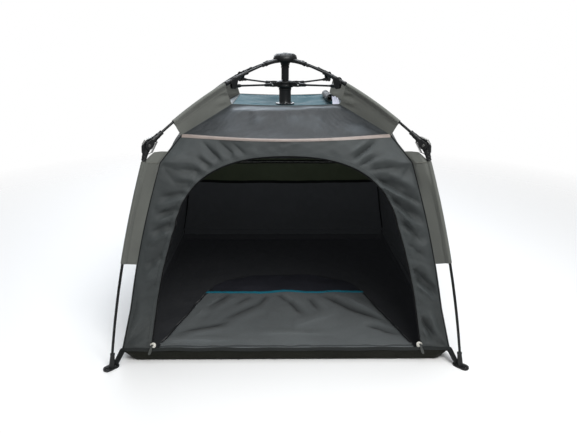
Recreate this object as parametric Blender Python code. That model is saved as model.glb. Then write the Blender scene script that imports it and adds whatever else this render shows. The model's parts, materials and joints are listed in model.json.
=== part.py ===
# Pop-up pet tent: a fabric cabin hung inside an outer frame of four bowed, hinged poles.
# Metres, +Z up. The origin is on the ground under the middle of the floor, and the doorway faces -Y.

import math

import bmesh
import bpy
import numpy as np
from mathutils import Matrix, Vector

# Cabin, as half widths of its square plan and heights
FLOOR_HALF = 0.433
HEM_HALF = 0.449
HEM_Z = 0.038
SHOULDER_HALF = 0.333
SHOULDER_Z = 0.535
EAVE_HALF = 0.2815
EAVE_Z = 0.598
EAVE_MID_HALF = 0.3205
EAVE_MID_Z = 0.592
CREST_HALF = 0.156
CREST_Z = 0.665
CREST_MID_HALF = 0.158
CREST_MID_Z = 0.661
ROOF_SAG_Z = 0.6475
SKIN = 0.003
SEAT_GAP = 0.0003

# Back wall window and its seams
WINDOW_LOW_Z = 0.286
WINDOW_TOP_Z = 0.389

# Arched doorway: straight bowed sides, then one Bezier curve up to the crown
ARCH_FOOT = (0.370, 0.050)
ARCH_SPRING = (0.297, 0.372)
ARCH_CROWN_Z = 0.552
ARCH_SIDE_BOW = 0.0085
ARCH_SIDE_PULL = 0.130
ARCH_CROWN_PULL = 0.169
HEAD_HALF = 0.220

# Door flap, which swings about its sill seam
SILL_Z = 0.0400
DOOR_CLEARANCE = 0.0055
DOOR_THICKNESS = 0.003
DOOR_SILL_HALF = 0.352
DOOR_NOTCH = 0.022
DOOR_NOTCH_END = 0.034

# Rods of the frame, in the upright plane through one corner: radius from the middle, then height
ROD_RADIUS = 0.0033
UPPER_POLE_START = (0.0799, 0.7730)
UPPER_POLE_END = (0.4690, 0.6062)
UPPER_POLE_BOW = 0.0175
LEG_START = (0.5130, 0.5590)
LEG_END = (0.6707, 0.0097)
LEG_BOW = 0.0148
FITTING_RADIUS = 0.0052
FITTING_TIP = (0.0206, 0.7805)
FITTING_BEND = (0.0420, 0.7798)
SLEEVE_RADIUS = 0.0056
SLEEVE_START_R = 0.1556
SLEEVE_END_R = 0.2404

# Hub on top
CAP_RADIUS = 0.037
CAP_TOP_Z = 0.804
CAP_RIM_Z = 0.780
CAP_CEILING_Z = 0.7885
CAP_CORE_RADIUS = 0.020
CAP_CORE_LOW_Z = 0.766
CAP_NOTCH_HALF = 0.0062
UPPER_TUBE_RADIUS = 0.01175
LOWER_TUBE_RADIUS = 0.01875
RUNNER_RADIUS = 0.026
RUNNER_LOW_Z = 0.700
RUNNER_TOP_Z = 0.722
BASE_PLATE_RADIUS = 0.030
BASE_PLATE_THICKNESS = 0.004

# Struts and their forks
STRUT_INNER = (0.0600, 0.7110)
STRUT_OUTER = (0.2114, 0.7160)
STRUT_RADIUS = 0.0034
EYE_RADIUS = 0.0055
EYE_HALF = 0.0034
FORK_INNER = 0.0038
FORK_OUTER = 0.0056
FORK_REACH = 0.0065

# Knee between the upper pole and the leg
KNEE_PIN = (0.5010, 0.5850)
KNEE_RADIUS = 0.0105
KNEE_HALF = 0.0085
KNEE_UPPER_MOUTH = (0.4570, 0.6137)
KNEE_UPPER_ROOT = (0.4935, 0.5912)
KNEE_LOWER_MOUTH = (0.5180, 0.5470)
KNEE_LOWER_ROOT = (0.5075, 0.5735)
SOCKET_MOUTH_RADIUS = 0.0058
SOCKET_ROOT_RADIUS = 0.0085
BORE_RADIUS = ROD_RADIUS + SEAT_GAP
SPRING_TOP = (0.4725, 0.5878)
SPRING_LOW = (0.4936, 0.5612)
SPRING_RADIUS = 0.0024
HOOK_RADIUS = 0.0012
TOP_HOOK_ROOT = (0.4750, 0.6010)
LOW_HOOK_ROOT = (0.5110, 0.5640)
LEVER_OUTLINE = ((0.484, 0.6020), (0.507, 0.5962), (0.515, 0.5845), (0.5155, 0.5680),
                 (0.5190, 0.5680), (0.5178, 0.5850), (0.5085, 0.5985), (0.484, 0.6045))
LEVER_HALF = 0.004

# Foot plate, with a stake hole outside and a strap slot inside
PLATE_INNER_R = 0.651
PLATE_OUTER_R = 0.6945
PLATE_HALF = 0.013
PLATE_CORNER = 0.012
PLATE_THICKNESS = 0.004
STAKE_HOLE_R = 0.6865
STAKE_HOLE_RADIUS = 0.0034
SLOT_INNER_R = 0.6575
SLOT_OUTER_R = 0.6615
SLOT_HALF = 0.0083
FOOT_SOCKET_LOW = (0.6712, 0.0025)
FOOT_SOCKET_TOP = (0.6640, 0.0420)
FOOT_SOCKET_RADIUS = 0.0095
STRAP_HALF = 0.0075
STRAP_THICKNESS = 0.0015
STRAP_SLOT_R = 0.6602
STRAP_LOW_Z = 0.0010

# Wings, the thin olive panels between the cabin's corners and the poles
WING_HALF = 0.001
UPPER_WING_START_R = 0.2376
UPPER_WING_END_R = 0.4207
LOWER_WING_TOP_Z = 0.545
LOWER_WING_LEG_Z = 0.288
LOWER_WING_SEAM_Z = 0.272
GUSSET_SEAM_Z = 0.5605
GUSSET_EDGE = ((0.4780, 0.5670), (0.4875, 0.5595), (0.5050, 0.5520))

# Zip sliders at the doorway's lower corners, with pull tabs that hang from them
SLIDER_X = 0.366
SLIDER_WIDTH = 0.013
SLIDER_HEIGHT = 0.015
SLIDER_DEPTH = 0.004
EAR_THICKNESS = 0.0012
EAR_REACH = 0.0070
TAB_PIN_OUT = 0.0050
TAB_PIN_RADIUS = 0.0016
TAB_PIN_HALF = 0.0030
TAB_LENGTH = 0.030
TAB_HALF_WIDTH = 0.0035
TAB_THICKNESS = 0.0014

# Rolled cover tied along the right side of the roof
ROLL_X = 0.137
ROLL_HALF_LENGTH = 0.105
ROLL_RADIUS = 0.011

CORNERS = {"front_left": 225.0, "front_right": 315.0, "back_right": 45.0, "back_left": 135.0}
SIDES = {"front": 0.0, "right": 90.0, "back": 180.0, "left": 270.0}
ROOT_TWO = math.sqrt(2.0)


def clear_scene():
    for item in list(bpy.data.objects):
        bpy.data.objects.remove(item, do_unlink=True)


def make_material(name, colour, roughness, metallic=0.0):
    made = bpy.data.materials.new(name)
    made.use_nodes = True
    shader = made.node_tree.nodes["Principled BSDF"]
    shader.inputs["Base Color"].default_value = (*colour, 1.0)
    shader.inputs["Roughness"].default_value = roughness
    shader.inputs["Metallic"].default_value = metallic
    made.diffuse_color = (*colour, 1.0)
    return made


def finish_mesh(bm, name, sharp_degrees=35.0):
    bmesh.ops.recalc_face_normals(bm, faces=bm.faces)
    mesh = bpy.data.meshes.new(name)
    bm.to_mesh(mesh)
    bm.free()
    mesh.shade_smooth()
    mesh.set_sharp_from_angle(angle=math.radians(sharp_degrees))
    return mesh


def place(name, mesh, look, turn_degrees=0.0, location=(0.0, 0.0, 0.0), tilt=0.0):
    item = bpy.data.objects.new(name, mesh)
    if look.name not in [slot.name for slot in mesh.materials if slot]:
        mesh.materials.clear()
        mesh.materials.append(look)
    item.location = location
    item.rotation_euler = (tilt, 0.0, math.radians(turn_degrees))
    bpy.context.scene.collection.objects.link(item)
    return item


# The result of one exact Boolean between two closed meshes, as a new mesh
def boolean(mesh, tool, operation):
    body = bpy.data.objects.new("body", mesh)
    other = bpy.data.objects.new("tool", tool)
    for item in (body, other):
        bpy.context.scene.collection.objects.link(item)
    change = body.modifiers.new("join_or_cut", "BOOLEAN")
    change.operation = operation
    change.solver = "EXACT"
    change.object = other
    graph = bpy.context.evaluated_depsgraph_get()
    result = bpy.data.meshes.new_from_object(body.evaluated_get(graph))
    for item in (body, other):
        bpy.data.objects.remove(item, do_unlink=True)
    return result


def union(*meshes):
    result = meshes[0]
    for mesh in meshes[1:]:
        result = boolean(result, mesh, "UNION")
    return result


# A capped tube along points (radius, height) in the local XZ plane, with one radius for each point
def sweep(points, radii, sides=12):
    path = [Vector((r, 0.0, z)) for r, z in points]
    bm = bmesh.new()
    rings = []
    for index, centre in enumerate(path):
        ahead = path[min(index + 1, len(path) - 1)]
        behind = path[max(index - 1, 0)]
        along = (ahead - behind).normalized()
        across = Vector((-along.z, 0.0, along.x))
        ring = []
        for step in range(sides):
            angle = 2.0 * math.pi * step / sides
            offset = across * math.cos(angle) + Vector((0.0, 1.0, 0.0)) * math.sin(angle)
            ring.append(bm.verts.new(centre + offset * radii[index]))
        rings.append(ring)
    for low, high in zip(rings, rings[1:]):
        for step in range(sides):
            after = (step + 1) % sides
            bm.faces.new((low[step], low[after], high[after], high[step]))
    bm.faces.new(rings[0])
    bm.faces.new(rings[-1])
    return finish_mesh(bm, "sweep")


# A solid turned about +Z from an outline of (radius, height) points, whose ends lie on the axis
def turned(outline, sides=32):
    bm = bmesh.new()
    rings = []
    for radius, height in outline:
        if radius < 1e-6:
            rings.append([bm.verts.new((0.0, 0.0, height))])
            continue
        ring = []
        for step in range(sides):
            angle = 2.0 * math.pi * step / sides
            ring.append(bm.verts.new((radius * math.cos(angle), radius * math.sin(angle), height)))
        rings.append(ring)
    for low, high in zip(rings, rings[1:]):
        for step in range(sides):
            after = (step + 1) % sides
            if len(low) == 1:
                bm.faces.new((low[0], high[step], high[after]))
            elif len(high) == 1:
                bm.faces.new((low[step], low[after], high[0]))
            else:
                bm.faces.new((low[step], low[after], high[after], high[step]))
    return finish_mesh(bm, "turned")


# A prism on an outline of points in the local XZ plane, from y_low to y_high
def upright_prism(outline, y_low, y_high):
    bm = bmesh.new()
    near = [bm.verts.new((x, y_low, z)) for x, z in outline]
    far = [bm.verts.new((x, y_high, z)) for x, z in outline]
    count = len(outline)
    for step in range(count):
        after = (step + 1) % count
        bm.faces.new((near[step], near[after], far[after], far[step]))
    bm.faces.new(near)
    bm.faces.new(far)
    return finish_mesh(bm, "prism")


def flat_prism(outline, z_low, z_high):
    mesh = upright_prism(outline, z_low, z_high)
    mesh.transform(Matrix(((1, 0, 0, 0), (0, 0, 1, 0), (0, 1, 0, 0), (0, 0, 0, 1))))
    mesh.flip_normals()
    return mesh


def box(low, high):
    outline = [(low[0], low[2]), (high[0], low[2]), (high[0], high[2]), (low[0], high[2])]
    return upright_prism(outline, low[1], high[1])


# A disc whose axis is local Y, centred on a (radius, height) point
def disc(centre, radius, half, sides=16):
    outline = []
    for step in range(sides):
        angle = 2.0 * math.pi * step / sides
        outline.append((centre[0] + radius * math.cos(angle), centre[1] + radius * math.sin(angle)))
    return upright_prism(outline, -half, half)


# A closed shell between two equal grids of points, one for each face of a cloth panel
def shell(outer, inner):
    bm = bmesh.new()
    grids = []
    for grid in (outer, inner):
        grids.append([[bm.verts.new(point) for point in row] for row in grid])
    rows = len(outer)
    columns = len(outer[0])
    for grid in grids:
        for i in range(rows - 1):
            for j in range(columns - 1):
                bm.faces.new((grid[i][j], grid[i + 1][j], grid[i + 1][j + 1], grid[i][j + 1]))
    rim = [(0, j) for j in range(columns)]
    rim += [(i, columns - 1) for i in range(1, rows)]
    rim += [(rows - 1, j) for j in range(columns - 2, -1, -1)]
    rim += [(i, 0) for i in range(rows - 2, 0, -1)]
    for (i, j), (k, m) in zip(rim, rim[1:] + rim[:1]):
        bm.faces.new((grids[0][i][j], grids[0][k][m], grids[1][k][m], grids[1][i][j]))
    return finish_mesh(bm, "shell")


# A parabola from start to end that stands off its chord by the bow, on the side away from the origin
def bowed_point(start, end, bow, t):
    chord_r = end[0] - start[0]
    chord_z = end[1] - start[1]
    length = math.hypot(chord_r, chord_z)
    rise = 4.0 * bow * t * (1.0 - t)
    return (start[0] + chord_r * t - chord_z / length * rise, start[1] + chord_z * t + chord_r / length * rise)


def pole_point(t):
    return bowed_point(UPPER_POLE_START, UPPER_POLE_END, UPPER_POLE_BOW, t)


def leg_point(t):
    return bowed_point(LEG_START, LEG_END, LEG_BOW, t)


def fraction_along(point_at, coordinate, value):
    fractions = np.linspace(0.0, 1.0, 201)
    values = np.array([point_at(t)[coordinate] for t in fractions])
    order = np.argsort(values)
    return float(np.interp(value, values[order], fractions[order]))


# Half width of the cabin at its corner seams: hem to shoulder, then shoulder to eave
def seam_half(z):
    return float(np.interp(z, (HEM_Z, SHOULDER_Z, EAVE_Z), (HEM_HALF, SHOULDER_HALF, EAVE_HALF)))


# Half width at a wall's middle, which stays in the wall's plane above the shoulder
def middle_half(z):
    return float(np.interp(z, (HEM_Z, SHOULDER_Z, EAVE_Z), (HEM_HALF, SHOULDER_HALF, EAVE_MID_HALF)))


def eave_height(x):
    return EAVE_Z + (EAVE_MID_Z - EAVE_Z) * (1.0 - (x / EAVE_HALF) ** 2)


# A point of the front wall: depth 0 on its outer face and 1 on its inner face. Above the shoulder
# the wall bends to its dipped eave, and its inner face also drops, so that the wall and the roof
# slope meet on a mitre.
def wall_point(x, z, depth):
    half = seam_half(z) - depth * SKIN
    middle = middle_half(z) - depth * SKIN
    across = min(abs(x) / half, 1.0)
    above = max(0.0, (z - SHOULDER_Z) / (EAVE_Z - SHOULDER_Z))
    y = -(half + (middle - half) * (1.0 - across ** 2))
    dip = (eave_height(min(abs(x), EAVE_HALF)) - EAVE_Z) * above ** 2
    return Vector((x, y, z + dip - depth * above * SKIN))


# A stretch of wall between two edges, each a function of height that gives x on the outer face
def wall_panel(low_z, high_z, left_at, right_at, left_mitred, right_mitred, columns=12, rows=9):
    heights = np.linspace(low_z, high_z, rows)
    if low_z < SHOULDER_Z < high_z:
        heights[np.argmin(abs(heights - SHOULDER_Z))] = SHOULDER_Z
    grids = []
    for depth in (0.0, 1.0):
        grid = []
        for z in heights:
            left = left_at(z) + (depth * SKIN if left_mitred else 0.0)
            right = right_at(z) - (depth * SKIN if right_mitred else 0.0)
            grid.append([wall_point(x, z, depth) for x in np.linspace(left, right, columns)])
        grids.append(grid)
    return shell(*grids)


def left_seam(z):
    return -(seam_half(z) - SEAT_GAP)


def right_seam(z):
    return seam_half(z) - SEAT_GAP


# Half of the arch as (x, z) points from its foot to its crown
def arch_points(steps=14):
    points = []
    for t in np.linspace(0.0, 1.0, steps, endpoint=False):
        x = ARCH_FOOT[0] + (ARCH_SPRING[0] - ARCH_FOOT[0]) * t + ARCH_SIDE_BOW * math.sin(math.pi * t)
        points.append((x, ARCH_FOOT[1] + (ARCH_SPRING[1] - ARCH_FOOT[1]) * t))
    side = Vector((ARCH_SPRING[0] - ARCH_FOOT[0], ARCH_SPRING[1] - ARCH_FOOT[1])).normalized()
    first = Vector(ARCH_SPRING)
    second = first + side * ARCH_SIDE_PULL
    third = Vector((ARCH_CROWN_PULL, ARCH_CROWN_Z))
    crown = Vector((0.0, ARCH_CROWN_Z))
    for t in np.linspace(0.0, 1.0, steps + 6):
        point = (first * (1 - t) ** 3 + second * 3 * t * (1 - t) ** 2
                 + third * 3 * t * t * (1 - t) + crown * t ** 3)
        points.append((point.x, point.y))
    return points


def arch_half(z):
    points = arch_points()
    return float(np.interp(z, [p[1] for p in points], [p[0] for p in points]))


def arch_height(x):
    points = arch_points()[::-1]
    return float(np.interp(abs(x), [p[0] for p in points], [p[1] for p in points]))


def build_walls(cloth, screen):
    def jamb_edge(z):
        return max(arch_half(z), HEAD_HALF + SEAT_GAP)

    left = wall_panel(HEM_Z, EAVE_Z, left_seam, lambda z: -jamb_edge(z), True, False, 7, 19)
    place("front_wall_left", left, cloth)
    right = wall_panel(HEM_Z, EAVE_Z, jamb_edge, right_seam, False, True, 7, 19)
    place("front_wall_right", right, cloth)
    grids = []
    for depth in (0.0, 1.0):
        grid = []
        for x in np.linspace(-HEAD_HALF, HEAD_HALF, 23):
            grid.append([wall_point(x, z, depth) for z in np.linspace(arch_height(x), EAVE_Z, 4)])
        grids.append(grid)
    place("front_wall_head", shell(*grids), cloth)
    whole = wall_panel(HEM_Z, EAVE_Z, left_seam, right_seam, True, True)
    place("left_wall", whole, cloth, SIDES["left"])
    place("right_wall", whole, cloth, SIDES["right"])
    lower = wall_panel(HEM_Z, WINDOW_LOW_Z - SEAT_GAP, left_seam, right_seam, True, True, 9, 4)
    place("back_wall_lower", lower, cloth, SIDES["back"])
    window = wall_panel(WINDOW_LOW_Z, WINDOW_TOP_Z, left_seam, right_seam, True, True, 9, 3)
    place("back_window", window, screen, SIDES["back"])
    upper = wall_panel(WINDOW_TOP_Z + SEAT_GAP, EAVE_Z, left_seam, right_seam, True, True, 12, 6)
    place("back_wall_upper", upper, cloth, SIDES["back"])


# A roof slope from the eave, t = 0, to the crest, t = 1, with u from -1 to 1 across it
def slope_point(u, t, depth):
    inset = depth * SKIN * (1.0 - t)
    half = EAVE_HALF + (CREST_HALF - EAVE_HALF) * t - inset
    middle = EAVE_MID_HALF + (CREST_MID_HALF - EAVE_MID_HALF) * t - inset
    corner_z = EAVE_Z + (CREST_Z - EAVE_Z) * t
    middle_z = EAVE_MID_Z + (CREST_MID_Z - EAVE_MID_Z) * t
    bulge = 1.0 - u * u
    return Vector((u * (half - SEAT_GAP), -(half + (middle - half) * bulge),
                   corner_z + (middle_z - corner_z) * bulge - depth * SKIN))


def roof_height(u, v):
    edge = CREST_MID_Z - ROOF_SAG_Z
    corner = CREST_Z - CREST_MID_Z
    return ROOF_SAG_Z + edge * (u * u + v * v - u * u * v * v) + corner * u * u * v * v


def roof_point(u, v, depth):
    half = CREST_HALF - SEAT_GAP
    bulge = CREST_MID_HALF - CREST_HALF
    x = u * (half + bulge * (1.0 - v * v))
    y = v * (half + bulge * (1.0 - u * u))
    return Vector((x, y, roof_height(u, v) - depth * SKIN))


def build_roof(cloth, top_cloth, roll_cloth):
    trim = 2.0 * SEAT_GAP / (EAVE_HALF - CREST_HALF)
    grids = []
    for depth in (0.0, 1.0):
        grid = []
        for t in np.linspace(trim, 1.0 - trim, 5):
            grid.append([slope_point(u, t, depth) for u in np.linspace(-1.0, 1.0, 13)])
        grids.append(grid)
    slope = shell(*grids)
    for side, turn in SIDES.items():
        place("roof_slope_" + side, slope, cloth, turn)
    grids = []
    for depth in (0.0, 1.0):
        grid = []
        for v in np.linspace(-1.0, 1.0, 13):
            grid.append([roof_point(u, v, depth) for u in np.linspace(-1.0, 1.0, 13)])
        grids.append(grid)
    place("roof_top", shell(*grids), top_cloth)
    roll_centre = 0.0
    for offset in np.linspace(-0.9, 0.9, 19) * ROLL_RADIUS:
        under = roof_height((ROLL_X + offset) / CREST_HALF, ROLL_HALF_LENGTH / CREST_HALF)
        roll_centre = max(roll_centre, under + math.sqrt(ROLL_RADIUS ** 2 - offset ** 2) + SEAT_GAP)
    roll = disc((0.0, 0.0), ROLL_RADIUS, ROLL_HALF_LENGTH, 20)
    place("roof_cover_roll", roll, roll_cloth, 0.0, (ROLL_X, 0.0, roll_centre))


# A shallow tub: the floor, with a rim that leans out to meet the walls' hem
def build_floor(tub_cloth):
    bm = bmesh.new()
    sections = (
        (FLOOR_HALF, 0.0),
        (HEM_HALF, HEM_Z - SEAT_GAP),
        (HEM_HALF - SKIN, HEM_Z - SEAT_GAP),
        (FLOOR_HALF - SKIN, SKIN),
    )
    rings = []
    for half, z in sections:
        square = ((-half, -half), (half, -half), (half, half), (-half, half))
        rings.append([bm.verts.new((x, y, z)) for x, y in square])
    bm.faces.new(rings[0])
    bm.faces.new(rings[-1])
    for low, high in zip(rings, rings[1:]):
        for step in range(4):
            after = (step + 1) % 4
            bm.faces.new((low[step], low[after], high[after], high[step]))
    place("floor", finish_mesh(bm, "floor"), tub_cloth)


# The sill seam lies in the middle of the wall's thickness. The flap's outline is the arch laid out
# along the wall's slope from that seam, and set in by its clearance all the way round.
def build_door(cloth):
    lean = math.atan2(HEM_HALF - SHOULDER_HALF, SHOULDER_Z - HEM_Z)
    sill_y = -(seam_half(SILL_Z) - SKIN / 2.0)
    arch = [Vector((x, (z - SILL_Z) / math.cos(lean))) for x, z in arch_points()]
    half = [(DOOR_SILL_HALF, 0.0), (DOOR_SILL_HALF, DOOR_NOTCH)]
    for before, point, after in zip(arch, arch[1:], arch[2:]):
        along = (after - before).normalized()
        inside = point + Vector((-along.y, along.x)) * DOOR_CLEARANCE
        if inside.y > DOOR_NOTCH_END:
            half.append((inside.x, inside.y))
    crown_reach = arch[-1].y - DOOR_CLEARANCE
    outline = half + [(0.0, crown_reach)] + [(-x, reach) for x, reach in half[::-1]]
    panel = flat_prism(outline, -DOOR_THICKNESS / 2.0, DOOR_THICKNESS / 2.0)
    seam = disc((0.0, 0.0), DOOR_THICKNESS / 2.0, DOOR_SILL_HALF, 12)
    seam.transform(Matrix.Rotation(math.radians(90.0), 4, "Z"))
    fall = SILL_Z - DOOR_THICKNESS / 2.0 - SKIN - SEAT_GAP
    rest = -math.asin(fall / crown_reach)
    place("door", union(panel, seam), cloth, 0.0, (0.0, sill_y, SILL_Z), rest)


def build_zips(slider_plastic, tab_cloth):
    lean = math.atan2(HEM_HALF - SHOULDER_HALF, SHOULDER_Z - HEM_Z)
    slider_z = ARCH_FOOT[1] + SLIDER_HEIGHT / 2.0 - SKIN
    face_y = -(seam_half(slider_z) + SEAT_GAP)
    body = box((-SLIDER_WIDTH / 2.0, -SLIDER_DEPTH, -SLIDER_HEIGHT / 2.0),
               (SLIDER_WIDTH / 2.0, 0.0, SLIDER_HEIGHT / 2.0))
    ear_inner = TAB_PIN_HALF + SEAT_GAP
    ears = []
    for side in (-1.0, 1.0):
        edges = sorted((side * ear_inner, side * (ear_inner + EAR_THICKNESS)))
        ears.append(box((edges[0], -SLIDER_DEPTH - EAR_REACH, -TAB_PIN_RADIUS),
                        (edges[1], -SLIDER_DEPTH / 2.0, 2.0 * TAB_PIN_RADIUS)))
    slider = union(body, *ears)
    slider.transform(Matrix.Rotation(-lean, 4, "X"))
    pin_local = Vector((0.0, -SLIDER_DEPTH - TAB_PIN_OUT, 0.0))
    pin = Matrix.Rotation(-lean, 3, "X") @ pin_local
    tab_top = -TAB_PIN_RADIUS * 0.6
    blade = box((-TAB_HALF_WIDTH * 0.8, -TAB_THICKNESS / 2.0, -TAB_LENGTH),
                (TAB_HALF_WIDTH * 0.8, TAB_THICKNESS / 2.0, tab_top))
    barrel = disc((0.0, 0.0), TAB_PIN_RADIUS, TAB_PIN_HALF, 12)
    barrel.transform(Matrix.Rotation(math.radians(90.0), 4, "Z"))
    tab = union(barrel, blade)
    for name, side in (("left", -1.0), ("right", 1.0)):
        place("zip_slider_" + name, slider, slider_plastic, 0.0, (side * SLIDER_X, face_y, slider_z))
        place("zip_tab_" + name, tab, tab_cloth, 0.0,
              (side * SLIDER_X, face_y + pin.y, slider_z + pin.z))


def build_hub(plastic, tube_metal):
    outline = ((0.0, CAP_CORE_LOW_Z), (CAP_CORE_RADIUS, CAP_CORE_LOW_Z),
               (CAP_CORE_RADIUS, CAP_CEILING_Z), (CAP_RADIUS - 0.004, CAP_CEILING_Z),
               (CAP_RADIUS - 0.004, CAP_RIM_Z), (CAP_RADIUS, CAP_RIM_Z),
               (CAP_RADIUS, CAP_RIM_Z + 0.006), (CAP_RADIUS - 0.004, CAP_TOP_Z - 0.010),
               (CAP_RADIUS - 0.013, CAP_TOP_Z - 0.0035), (CAP_RADIUS - 0.025, CAP_TOP_Z - 0.0005),
               (0.0, CAP_TOP_Z))
    cap = turned(outline)
    for turn in CORNERS.values():
        notch = box((CAP_CORE_RADIUS + 0.004, -CAP_NOTCH_HALF, CAP_RIM_Z - 0.010),
                    (CAP_RADIUS + 0.010, CAP_NOTCH_HALF, CAP_CEILING_Z - 0.0002))
        notch.transform(Matrix.Rotation(math.radians(turn), 4, "Z"))
        cap = boolean(cap, notch, "DIFFERENCE")
    place("hub_cap", cap, plastic)
    upper = turned(((0.0, RUNNER_TOP_Z + SEAT_GAP), (UPPER_TUBE_RADIUS, RUNNER_TOP_Z + SEAT_GAP),
                    (UPPER_TUBE_RADIUS, CAP_CORE_LOW_Z - SEAT_GAP), (0.0, CAP_CORE_LOW_Z - SEAT_GAP)), 24)
    place("hub_upper_tube", upper, tube_metal)
    runner = turned(((0.0, RUNNER_LOW_Z), (RUNNER_RADIUS - 0.004, RUNNER_LOW_Z),
                     (RUNNER_RADIUS, RUNNER_LOW_Z + 0.003), (RUNNER_RADIUS, RUNNER_TOP_Z - 0.004),
                     (RUNNER_RADIUS - 0.008, RUNNER_TOP_Z), (0.0, RUNNER_TOP_Z)))
    for turn in CORNERS.values():
        for side in (-1.0, 1.0):
            edges = sorted((side * FORK_INNER, side * FORK_OUTER))
            cheek = box((RUNNER_RADIUS - 0.006, edges[0], STRUT_INNER[1] - FORK_REACH),
                        (STRUT_INNER[0] + FORK_REACH, edges[1], STRUT_INNER[1] + FORK_REACH))
            cheek.transform(Matrix.Rotation(math.radians(turn), 4, "Z"))
            runner = boolean(runner, cheek, "UNION")
    place("hub_runner", runner, plastic)
    plate_u = BASE_PLATE_RADIUS / CREST_HALF
    plate_z = roof_height(plate_u, 0.0) + SEAT_GAP
    lower = turned(((0.0, plate_z), (BASE_PLATE_RADIUS, plate_z),
                    (BASE_PLATE_RADIUS, plate_z + BASE_PLATE_THICKNESS),
                    (LOWER_TUBE_RADIUS, plate_z + BASE_PLATE_THICKNESS),
                    (LOWER_TUBE_RADIUS, RUNNER_LOW_Z - SEAT_GAP), (0.0, RUNNER_LOW_Z - SEAT_GAP)), 28)
    place("hub_lower_tube", lower, plastic)


# One upper pole with its end fitting, its clamped sleeve and the fork that holds the strut
def upper_pole_mesh():
    points = [FITTING_TIP, FITTING_BEND]
    radii = [FITTING_RADIUS, FITTING_RADIUS]
    for t, radius in ((0.0, FITTING_RADIUS), (0.004, ROD_RADIUS)):
        points.append(pole_point(t))
        radii.append(radius)
    for t in np.linspace(0.06, 1.0, 15):
        points.append(pole_point(t))
        radii.append(ROD_RADIUS)
    rod = sweep(points, radii)
    low = fraction_along(pole_point, 0, SLEEVE_START_R)
    high = fraction_along(pole_point, 0, SLEEVE_END_R)
    sleeve = sweep([pole_point(t) for t in np.linspace(low, high, 5)], [SLEEVE_RADIUS] * 5)
    made = union(rod, sleeve)
    top_z = pole_point(fraction_along(pole_point, 0, STRUT_OUTER[0]))[1]
    for side in (-1.0, 1.0):
        edges = sorted((side * FORK_INNER, side * (FORK_OUTER - 0.0004)))
        cheek = box((STRUT_OUTER[0] - FORK_REACH, edges[0], STRUT_OUTER[1] - FORK_REACH),
                    (STRUT_OUTER[0] + FORK_REACH, edges[1], top_z))
        made = boolean(made, cheek, "UNION")
    return made


def strut_mesh():
    bar = sweep([STRUT_INNER, STRUT_OUTER], [STRUT_RADIUS, STRUT_RADIUS])
    return union(bar, disc(STRUT_INNER, EYE_RADIUS, EYE_HALF), disc(STRUT_OUTER, EYE_RADIUS, EYE_HALF))


# Extends the stretch from one point towards another by a distance past the second
def beyond(start, end, distance):
    length = math.hypot(end[0] - start[0], end[1] - start[1])
    return (end[0] + (end[0] - start[0]) / length * distance,
            end[1] + (end[1] - start[1]) / length * distance)


# The black elbow: two bored sockets, a knuckle, its outer lever and the return spring inside
def knee_mesh():
    upper = sweep([KNEE_UPPER_MOUTH, KNEE_UPPER_ROOT], [SOCKET_MOUTH_RADIUS, SOCKET_ROOT_RADIUS], 16)
    lower = sweep([KNEE_LOWER_MOUTH, KNEE_LOWER_ROOT], [SOCKET_MOUTH_RADIUS, SOCKET_ROOT_RADIUS], 16)
    knuckle = disc(KNEE_PIN, KNEE_RADIUS, KNEE_HALF, 24)
    lever = upright_prism(LEVER_OUTLINE, -LEVER_HALF, LEVER_HALF)
    spring = sweep([SPRING_TOP, SPRING_LOW], [SPRING_RADIUS, SPRING_RADIUS], 10)
    top_hook = sweep([TOP_HOOK_ROOT, beyond(TOP_HOOK_ROOT, SPRING_TOP, HOOK_RADIUS)],
                     [HOOK_RADIUS, HOOK_RADIUS], 8)
    low_hook = sweep([LOW_HOOK_ROOT, beyond(LOW_HOOK_ROOT, SPRING_LOW, HOOK_RADIUS)],
                     [HOOK_RADIUS, HOOK_RADIUS], 8)
    made = union(upper, lower, knuckle, lever, top_hook, low_hook, spring)
    pole_end = pole_point(1.0)
    pole_before = pole_point(0.96)
    bore = sweep([beyond(pole_end, pole_before, 0.012), beyond(pole_before, pole_end, SEAT_GAP)],
                 [BORE_RADIUS, BORE_RADIUS], 16)
    made = boolean(made, bore, "DIFFERENCE")
    leg_end = leg_point(0.0)
    leg_after = leg_point(0.03)
    bore = sweep([beyond(leg_end, leg_after, 0.012), beyond(leg_after, leg_end, SEAT_GAP)],
                 [BORE_RADIUS, BORE_RADIUS], 16)
    return boolean(made, bore, "DIFFERENCE")


def leg_mesh():
    points = [leg_point(t) for t in np.linspace(0.0, 1.0, 17)]
    return sweep(points, [ROD_RADIUS] * 17)


def rounded_rectangle(low, high, half, corner, steps=5):
    outline = []
    centres = ((high - corner, half - corner, 0.0), (low + corner, half - corner, 90.0),
               (low + corner, corner - half, 180.0), (high - corner, corner - half, 270.0))
    for x, y, start in centres:
        for step in range(steps + 1):
            angle = math.radians(start + 90.0 * step / steps)
            outline.append((x + corner * math.cos(angle), y + corner * math.sin(angle)))
    return outline


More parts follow.
